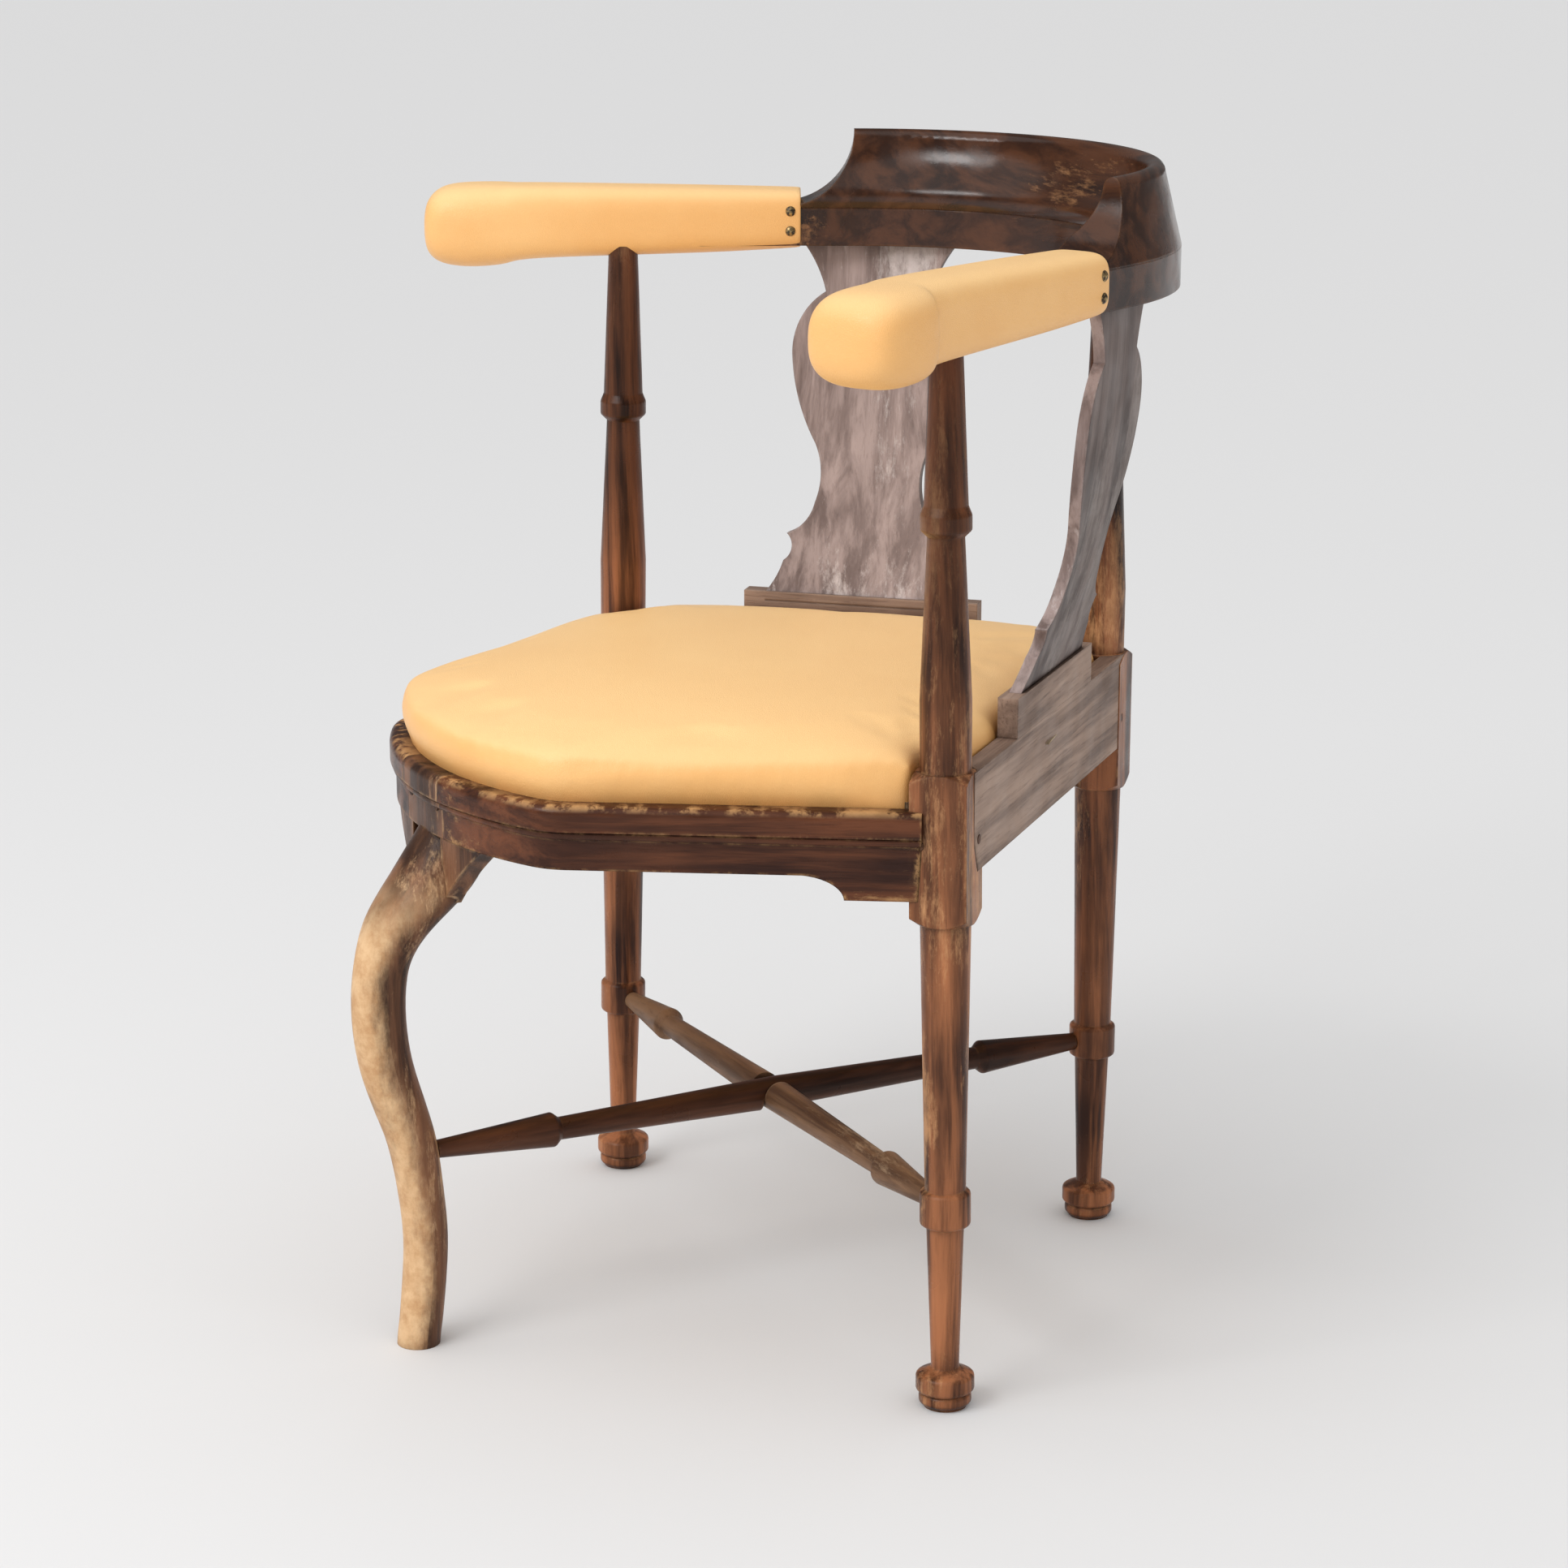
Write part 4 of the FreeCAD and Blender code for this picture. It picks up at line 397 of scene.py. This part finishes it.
def makeCloth(name):
    look = {**clothLook, **cloths[name]}
    material, tree, surface = newMaterial(name)
    place = addNode(tree, "TexCoord").outputs["Object"]
    along = addNode(tree, "Mapping", Vector=place, Rotation=(0, 0, math.radians(backTurn)),
                    Scale=(look["count"] * math.pi,) * 3).outputs[0]
    parts = addNode(tree, "SeparateXYZ", Vector=along).outputs
    over = math2(tree, "ABSOLUTE", math2(tree, "SINE", parts[0]))
    under = math2(tree, "ABSOLUTE", math2(tree, "SINE", parts[1]))
    weave = math2(tree, "MAXIMUM", over, under)
    slub = noise(tree, place, look["slubScale"], 6.0)
    shade = math2(tree, "MULTIPLY", weave, ramp(tree, slub, *look["slub"]), True)
    colour = mixColour(tree, shade, (*look["gap"], 1), (*look["thread"], 1))
    tree.links.new(colour, surface.inputs["Base Color"])
    surface.inputs["Roughness"].default_value = look["rough"]
    surface.inputs["Sheen Weight"].default_value = look["sheen"]
    bump = addNode(tree, "Bump", Strength=look["relief"], Distance=look["bump"], Height=weave)
    tree.links.new(bump.outputs[0], surface.inputs["Normal"])
    return material


metals = {
    "nailBrass": dict(bright=(0.50, 0.36, 0.17), dull=(0.045, 0.032, 0.022), rough=0.38),
    "tackSteel": dict(bright=(0.42, 0.40, 0.38), dull=(0.12, 0.08, 0.06), rough=0.45),
}
metalLook = {"scale": 420.0, "patches": (0.42, 0.62), "relief": 0.3, "bump": 0.0002,
             "spread": 0.5, "least": 0.45}  # how metallic: the dull places least


def makeMetal(name):
    look = {**metalLook, **metals[name]}
    material, tree, surface = newMaterial(name)
    place = addNode(tree, "TexCoord").outputs["Object"]
    blotch = noise(tree, place, look["scale"], 5.0)
    mask = ramp(tree, blotch, *look["patches"])
    colour = mixColour(tree, mask, (*look["dull"], 1), (*look["bright"], 1))
    tree.links.new(colour, surface.inputs["Base Color"])
    metallic = math2(tree, "MULTIPLY_ADD", mask, look["spread"], third=look["least"])
    tree.links.new(metallic, surface.inputs["Metallic"])
    surface.inputs["Roughness"].default_value = look["rough"]
    bump = addNode(tree, "Bump", Strength=look["relief"], Distance=look["bump"], Height=blotch)
    tree.links.new(bump.outputs[0], surface.inputs["Normal"])
    return material


finishes = {name: makeWood(name) for name in woods}
finishes["tanLeather"] = makeLeather()
finishes.update({name: makeCloth(name) for name in cloths})
finishes.update({name: makeMetal(name) for name in metals})
print("materials ready:", len(finishes))

nodeFinish = {
    "left_post": "postWood", "right_post": "postWood", "back_post": "postWood",
    "front_leg": "kneeWood", "left_knee_bracket": "kneeWood", "right_knee_bracket": "kneeWood",
    "front_left_rail": "leftFrontWood", "front_right_rail": "rightFrontWood",
    "back_left_rail": "leftRailWood", "back_right_rail": "rightRailWood",
    "left_shoe": "leftRailWood", "right_shoe": "rightRailWood",
    "left_splat": "splatWood", "right_splat": "splatWood",
    "left_arm": "crestWood", "right_arm": "crestWood", "crest_rail": "crestWood",
    "long_stretcher": "longRodWood", "cross_stretcher": "crossRodWood", "rail_pegs": "pegWood",
    "corner_blocks": "rawWood", "seat_front_left_bar": "rawWood", "seat_back_left_bar": "rawWood",
    "seat_front_right_bar": "rawWood", "seat_back_right_bar": "rawWood",
    "left_arm_nails": "nailBrass", "right_arm_nails": "nailBrass",
    "crest_screws": "tackSteel", "seat_tacks": "tackSteel",
}
for nodeName, finish in nodeFinish.items():
    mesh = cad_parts[nodeName].data
    mesh.materials.clear()
    mesh.materials.append(finishes[finish])


# Drop-in seat: stuffed leather, webbing and hessian

seatCushion = {
    "middle": 0.0107,  # the stretchers' crossing, behind the origin
    "bow": (-.0083, .2409, 27.1), "bowSteps": 12,  # inside the moulded lip: y, radius, degrees
    "turn": (.0930, -.1901, .0367, 58.6), "turnSteps": 6,  # its rounded end: x, y, radius, degrees
    "corners": [(.2378, -.0215), (.2172, 0), (.2348, .0168), (.0165, .2520), (0, .2376)],
    "underside": 0.3946, "lipLevel": 0.4095, "spacing": 0.004,
    "overLip": [(.4165, .0044), (.4240, .0066), (.4325, .0052)], "overLipFrom": 0.03,
    # share of the outline, level, how much lower in front, rounds that even the outline out
    "rolls": [(.995, .4372, .0006, 3), (.984, .4424, .0018, 6), (.966, .4464, .0034, 12),
              (.940, .4500, .0050, 24), (.903, .4532, .0062, 44), (.845, .4560, .0066, 76),
              (.755, .4580, .0056, 120), (.625, .4594, .0038, 170), (.450, .4603, .0018, 220),
              (.225, .4608, .0004, 260)],
    "crown": .4609, "lowerFrom": 0.09, "lowerOver": 0.22, "voxel": 0.0050,
    "smoothing": [("all", -1.0, 0.0, 6), ("top", 0.438, 0.452, 44)],  # name, from and to level, rounds
    "pressure": 1.0, "mostSwell": 0.0015, "heldAbove": 0.004, "heldBand": 0.012, "swellFrames": 20,
}


def seatOutline():
    # seen from above: bowed front, then past the side post's notch to the back post's notch
    plan = seatCushion
    bowY, bowRadius, bowTurn = plan["bow"]
    turnX, turnY, turnRadius, heading = plan["turn"]
    half = [(bowRadius * math.sin(math.radians(a)), bowY - bowRadius * math.cos(math.radians(a)))
            for a in [bowTurn * step / plan["bowSteps"] for step in range(plan["bowSteps"] + 1)]]
    half += [(turnX + turnRadius * math.sin(math.radians(a)),
              turnY - turnRadius * math.cos(math.radians(a)))
             for a in [bowTurn + (heading - bowTurn) * step / plan["turnSteps"]
                       for step in range(1, plan["turnSteps"] + 1)]]
    half += plan["corners"]
    loop = [Vector(point) for point in half]
    loop += [Vector((-x, y)) for x, y in half[-2:0:-1]]
    dense = []
    for start, end in zip(loop, loop[1:] + loop[:1]):
        count = max(1, round((end - start).length / plan["spacing"]))
        dense += [start.lerp(end, step / count) for step in range(count)]
    return dense


def evened(points, rounds):
    # rounds a closed outline's corners off and fills its notches
    for _ in range(rounds):
        points = [here.lerp((points[index - 1] + points[(index + 1) % len(points)]) / 2, 0.5)
                  for index, here in enumerate(points)]
    return points


def seatRings(plan):  # outline, level and how much lower in front, from the underside up
    outline = seatOutline()
    rings = [(outline, plan["underside"], 0.0), (outline, plan["lipLevel"], 0.0)]
    for level, over in plan["overLip"]:
        wider = []
        for point in outline:  # over the moulded lip of the front rails only
            share = min(1.0, max(0.0, (-point.y - plan["overLipFrom"]) / plan["overLipFrom"]))
            wider.append(point + point.normalized() * over * share)
        rings.append((wider, level, 0.0))
    edge = rings[-1][0]
    for share, level, lower, rounds in plan["rolls"]:
        edge = evened(edge, rounds)
        rings.append(([point * share for point in edge], level, lower))
    return rings


def smoothed(piece, steps):  # each step works on the points above a level, fading in over a band
    for group, low, high, rounds in steps:
        chosen = piece.vertex_groups.new(name=group)
        for vert in piece.data.vertices:
            chosen.add([vert.index], min(1.0, max(0.0, (vert.co.z - low) / (high - low))), "REPLACE")
        smooth = piece.modifiers.new(group, "SMOOTH")
        smooth.factor, smooth.iterations, smooth.vertex_group = 0.5, rounds, group
    bakeModifiers(piece)
    piece.vertex_groups.clear()


def subdivided(piece, levels):
    finer = piece.modifiers.new("finer", "SUBSURF")
    finer.levels = finer.render_levels = levels
    bakeModifiers(piece)


def seatLeather():
    plan = seatCushion
    bm = bmesh.new()
    loops = []
    for points, level, lower in seatRings(plan):
        ahead = [min(1.0, max(0.0, (plan["lowerFrom"] - y) / plan["lowerOver"])) for x, y in points]
        loops.append([bm.verts.new((x, y + plan["middle"], level - lower * front))
                      for (x, y), front in zip(points, ahead)])
    for lower, upper in zip(loops, loops[1:]):
        for index in range(len(lower)):
            bm.faces.new((lower[index - 1], lower[index], upper[index], upper[index - 1]))
    bm.faces.new(loops[0][::-1])
    lid = bm.faces.new(loops[-1])
    centre = bmesh.ops.poke(bm, faces=[lid])["verts"][0]
    centre.co.z = plan["crown"]
    bmesh.ops.recalc_face_normals(bm, faces=bm.faces)
    piece = finishPiece("seat_leather", bm, finishes["tanLeather"])
    remesh = piece.modifiers.new("voxels", "REMESH")
    remesh.mode, remesh.voxel_size = "VOXEL", plan["voxel"]
    bakeModifiers(piece)
    smoothed(piece, plan["smoothing"])
    swell(piece, plan)
    subdivided(piece, 1)
    return piece


skin = {"tension": 40, "compression": 40, "bending": 2.0}


def swell(piece, plan):
    # stuffing pushes the skin out: cloth with pressure, and no point moves further than mostSwell
    start = [vert.co.copy() for vert in piece.data.vertices]
    held = piece.vertex_groups.new(name="held")
    heldLevel = plan["lipLevel"] + plan["heldAbove"]
    for index, place in enumerate(start):
        hold = 1.0 if place.z < heldLevel else max(0.0, 1.0 - (place.z - heldLevel) / plan["heldBand"])
        held.add([index], hold, "REPLACE")
    cloth = piece.modifiers.new("skin", "CLOTH")
    cloth.settings.vertex_group_mass = "held"
    cloth.settings.use_pressure = True
    cloth.settings.uniform_pressure_force = plan["pressure"]
    cloth.settings.tension_stiffness = skin["tension"]
    cloth.settings.compression_stiffness = skin["compression"]
    cloth.settings.bending_stiffness = skin["bending"]
    cloth.settings.effector_weights.gravity = 0.0
    cloth.point_cache.frame_end = plan["swellFrames"]
    for number in range(1, plan["swellFrames"] + 1):
        bpy.context.scene.frame_set(number)
    bakeModifiers(piece)
    bpy.context.scene.frame_set(1)
    for vert, was in zip(piece.data.vertices, start):
        move = vert.co - was
        if move.length > plan["mostSwell"]:
            vert.co = was + move.normalized() * plan["mostSwell"]
    piece.vertex_groups.clear()


cushion = seatLeather()
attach(cushion, "slip_seat")
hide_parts("seat_cover", "seat_padding")
print("seat leather:", len(cushion.data.polygons), "faces")

webbing = {"bottom": 0.4117, "width": 0.046, "pitch": 0.0805, "thick": 0.0011, "turn": backTurn,
           "reach": [(0.178, 0.184), (0.178, 0.200), (0.178, 0.184)],  # behind and ahead of the middle
           "cells": (44, 4), "wave": 0.55, "middleLevel": 1.2}  # the last two in strap thicknesses


def thickened(piece, thick, side):  # side 0 both ways, -1 inwards
    body = piece.modifiers.new("thickness", "SOLIDIFY")
    body.thickness, body.offset = thick, side
    bakeModifiers(piece)


def wovenStraps():
    plan = webbing
    bm = bmesh.new()
    for side in (1, -1):
        for index in (-1, 0, 1):
            back, ahead = plan["reach"][index + 1]
            made = bmesh.ops.create_grid(bm, x_segments=plan["cells"][0], y_segments=plan["cells"][1],
                                         size=0.5)["verts"]
            for vert in made:
                x = vert.co.x * (back + ahead) + (back - ahead) / 2
                y = vert.co.y * plan["width"] + index * plan["pitch"]
                over = math.cos(math.pi * x / plan["pitch"]) * side * (1 if index % 2 else -1)
                vert.co = Vector((x, y, over * plan["thick"] * plan["wave"]))
            turn = Matrix.Rotation(math.radians(90 + plan["turn"]) * side, 4, "Z")
            bmesh.ops.transform(bm, matrix=turn, verts=made)
    level = plan["bottom"] + plan["thick"] * plan["middleLevel"]
    bmesh.ops.translate(bm, vec=(0, seatCushion["middle"], level), verts=bm.verts)
    piece = finishPiece("woven_webbing", bm, finishes["juteWebbing"])
    thickened(piece, plan["thick"], 0.0)
    return piece


straps = wovenStraps()
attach(straps, "slip_seat")
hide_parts("webbing_lower", "webbing_upper")

hessianSheet = {"share": 0.955, "level": 0.4146, "thick": 0.0007, "sag": 0.0003, "ripple": 90, "cuts": 3,
                "flat": (0.466, 0.483), "area": 0.152}


def hessianPiece():
    plan = hessianSheet
    bm = bmesh.new()
    outline = [point * plan["share"] for point in seatOutline()]
    bm.faces.new([bm.verts.new((x, y + seatCushion["middle"], plan["level"])) for x, y in outline])
    bmesh.ops.triangulate(bm, faces=bm.faces[:])
    bmesh.ops.subdivide_edges(bm, edges=bm.edges[:], cuts=plan["cuts"], use_grid_fill=True)
    for vert in bm.verts:
        ripple = math.sin(vert.co.x * plan["ripple"]) * math.cos(vert.co.y * plan["ripple"])
        vert.co.z -= plan["sag"] * (1 + ripple)
    piece = finishPiece("hessian_sheet", bm, finishes["hessianCloth"])
    thickened(piece, plan["thick"], -1.0)
    return piece


cloth = hessianPiece()
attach(cloth, "slip_seat")
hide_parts("hessian")


# Padded leather on both arms

armPad = {
    "root": (0.17945, 0.16784, 0.0), "splay": 27.0,   # where the straight arm starts, and its angle
    "rings": [  # along the arm, inner side, outer side, underside, top, squareness
        (.0385, .0265, .0204, .7090, .7495, 4.2), (.0393, .0272, .0212, .7083, .7502, 4.2),
        (.0700, .0286, .0222, .7065, .7508, 4.0), (.1000, .0301, .0231, .7048, .7516, 3.8),
        (.1700, .0311, .0241, .7026, .7526, 3.8), (.2200, .0312, .0247, .7010, .7532, 3.8),
        (.2390, .0313, .0258, .6995, .7532, 3.8), (.2460, .0313, .0270, .6982, .7530, 3.7),
        (.2500, .0313, .0314, .6968, .7530, 3.6), (.2540, .0313, .0351, .6955, .7530, 3.5),
        (.2640, .0313, .0376, .6940, .7530, 3.4), (.2790, .0312, .0383, .6932, .7528, 3.3),
        (.2920, .0300, .0375, .6942, .7518, 3.2), (.3010, .0280, .0350, .6965, .7490, 3.0),
        (.3070, .0243, .0308, .7005, .7440, 2.8), (.3102, .0185, .0245, .7060, .7380, 2.6),
        (.3112, .0110, .0170, .7130, .7310, 2.4)],
    "sides": 40, "endInset": 0.004, "levels": 2,
}


def armLeather(name, side):
    plan = armPad
    bm = bmesh.new()
    rings = []
    for along, inner, outer, low, high, power in plan["rings"]:
        ring = bmesh.ops.create_circle(bm, cap_ends=False, segments=plan["sides"], radius=1.0)["verts"]
        for vert in ring:  # circle pulled out to a rounded rectangle
            x, z = vert.co.x, vert.co.y
            pull = (abs(x) ** power + abs(z) ** power) ** (-1 / power)
            vert.co = Vector((along, (outer - inner) / 2 + x * pull * (outer + inner) / 2,
                              (low + high) / 2 + z * pull * (high - low) / 2))
        rings.append(list({edge for vert in ring for edge in vert.link_edges}))
    for first, second in zip(rings, rings[1:]):
        bmesh.ops.bridge_loops(bm, edges=first + second)
    for end in (rings[0], rings[-1]):
        bmesh.ops.edgeloop_fill(bm, edges=end)
    for face in [face for face in bm.faces if len(face.verts) > 4]:
        bmesh.ops.inset_region(bm, faces=[face], thickness=plan["endInset"], use_boundary=True)
        bmesh.ops.poke(bm, faces=[face])
    angle = math.radians(90 - plan["splay"])
    course = Vector((math.cos(angle), -math.sin(angle), 0))
    outward = Vector((math.sin(angle), math.cos(angle), 0))
    turn = Matrix((course, outward, Vector((0, 0, 1)))).transposed().to_4x4()
    bmesh.ops.transform(bm, matrix=Matrix.Translation(plan["root"]) @ turn, verts=bm.verts)
    if side < 0:
        bmesh.ops.scale(bm, vec=(-1, 1, 1), verts=bm.verts)
    bmesh.ops.recalc_face_normals(bm, faces=bm.faces)
    piece = finishPiece(name, bm, finishes["tanLeather"])
    subdivided(piece, plan["levels"])
    return piece


for name, side in (("left", 1), ("right", -1)):
    pad = armLeather(name + "_arm_cover", side)
    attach(pad, "frame")
    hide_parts(name + "_arm_leather", name + "_arm_wadding")
    print(name, "arm leather:", len(pad.data.polygons), "faces")


# Floor, light and camera

stage = {"floor": (0.705, 0.704, 0.706), "floorRough": 0.85, "floorGloss": 0.15, "reach": 40.0,
         "world": 0.87, "gloss": 0.16,  # the room's light, and its share in reflections
         "sun": 0.70, "sunSpread": 70, "sunTurn": (34, -10, 20), "softbox": 26.0,
         "softboxSize": (1.4, 0.7), "softboxPlace": (0.6, -2.2, 2.3), "softboxAim": (0, 0, 0.6)}


def makeFloor():
    bm = bmesh.new()
    bmesh.ops.create_grid(bm, x_segments=8, y_segments=8, size=stage["reach"])
    material, tree, surface = newMaterial("paleFloor")
    surface.inputs["Base Color"].default_value = (*stage["floor"], 1)
    surface.inputs["Roughness"].default_value = stage["floorRough"]
    surface.inputs["Specular IOR Level"].default_value = stage["floorGloss"]
    finishPiece("floor", bm, material)


def makeRoomLight():
    world = bpy.data.worlds.new("studio")
    bpy.context.scene.world = world
    world.use_nodes = True
    tree = world.node_tree
    tree.nodes.clear()
    shiny = addNode(tree, "LightPath").outputs["Is Glossy Ray"]
    strength = math2(tree, "MULTIPLY_ADD", shiny, stage["gloss"] - stage["world"], third=stage["world"])
    sky = addNode(tree, "Background", Color=(1, 1, 1, 1), Strength=strength)
    output = addNode(tree, "OutputWorld")
    tree.links.new(sky.outputs[0], output.inputs["Surface"])


def makeLamps():
    lamp = bpy.data.lights.new("window", "SUN")
    lamp.energy, lamp.angle = stage["sun"], math.radians(stage["sunSpread"])
    sun = bpy.data.objects.new("window", lamp)
    sun.rotation_euler = [math.radians(angle) for angle in stage["sunTurn"]]
    bpy.context.scene.collection.objects.link(sun)
    softbox = bpy.data.lights.new("softbox", "AREA")
    softbox.shape, softbox.energy = "RECTANGLE", stage["softbox"]
    softbox.size, softbox.size_y = stage["softboxSize"]
    lit = bpy.data.objects.new("softbox", softbox)
    lit.location = stage["softboxPlace"]
    lit.rotation_euler = (Vector(stage["softboxAim"]) - lit.location).to_track_quat("-Z", "Y").to_euler()
    bpy.context.scene.collection.objects.link(lit)


makeFloor()
makeRoomLight()
makeLamps()

photoView = {"place": (2.3570, -1.1840, 1.0748), "turn": 62.94, "tilt": 15.05, "roll": 0.08,
             "lens": 90.515, "sensor": 36.0}


def makeCamera():
    lens = bpy.data.cameras.new("photo_camera")
    lens.lens, lens.sensor_width = photoView["lens"], photoView["sensor"]
    camera = bpy.data.objects.new("photo_camera", lens)
    turn = (Matrix.Rotation(math.radians(photoView["turn"]), 4, "Z")
            @ Matrix.Rotation(math.radians(90 - photoView["tilt"]), 4, "X")
            @ Matrix.Rotation(math.radians(photoView["roll"]), 4, "Z"))
    camera.matrix_world = Matrix.Translation(photoView["place"]) @ turn
    bpy.context.scene.collection.objects.link(camera)
    bpy.context.scene.camera = camera


makeCamera()
bpy.context.scene.view_settings.view_transform = "Standard"

print("stage and camera ready")
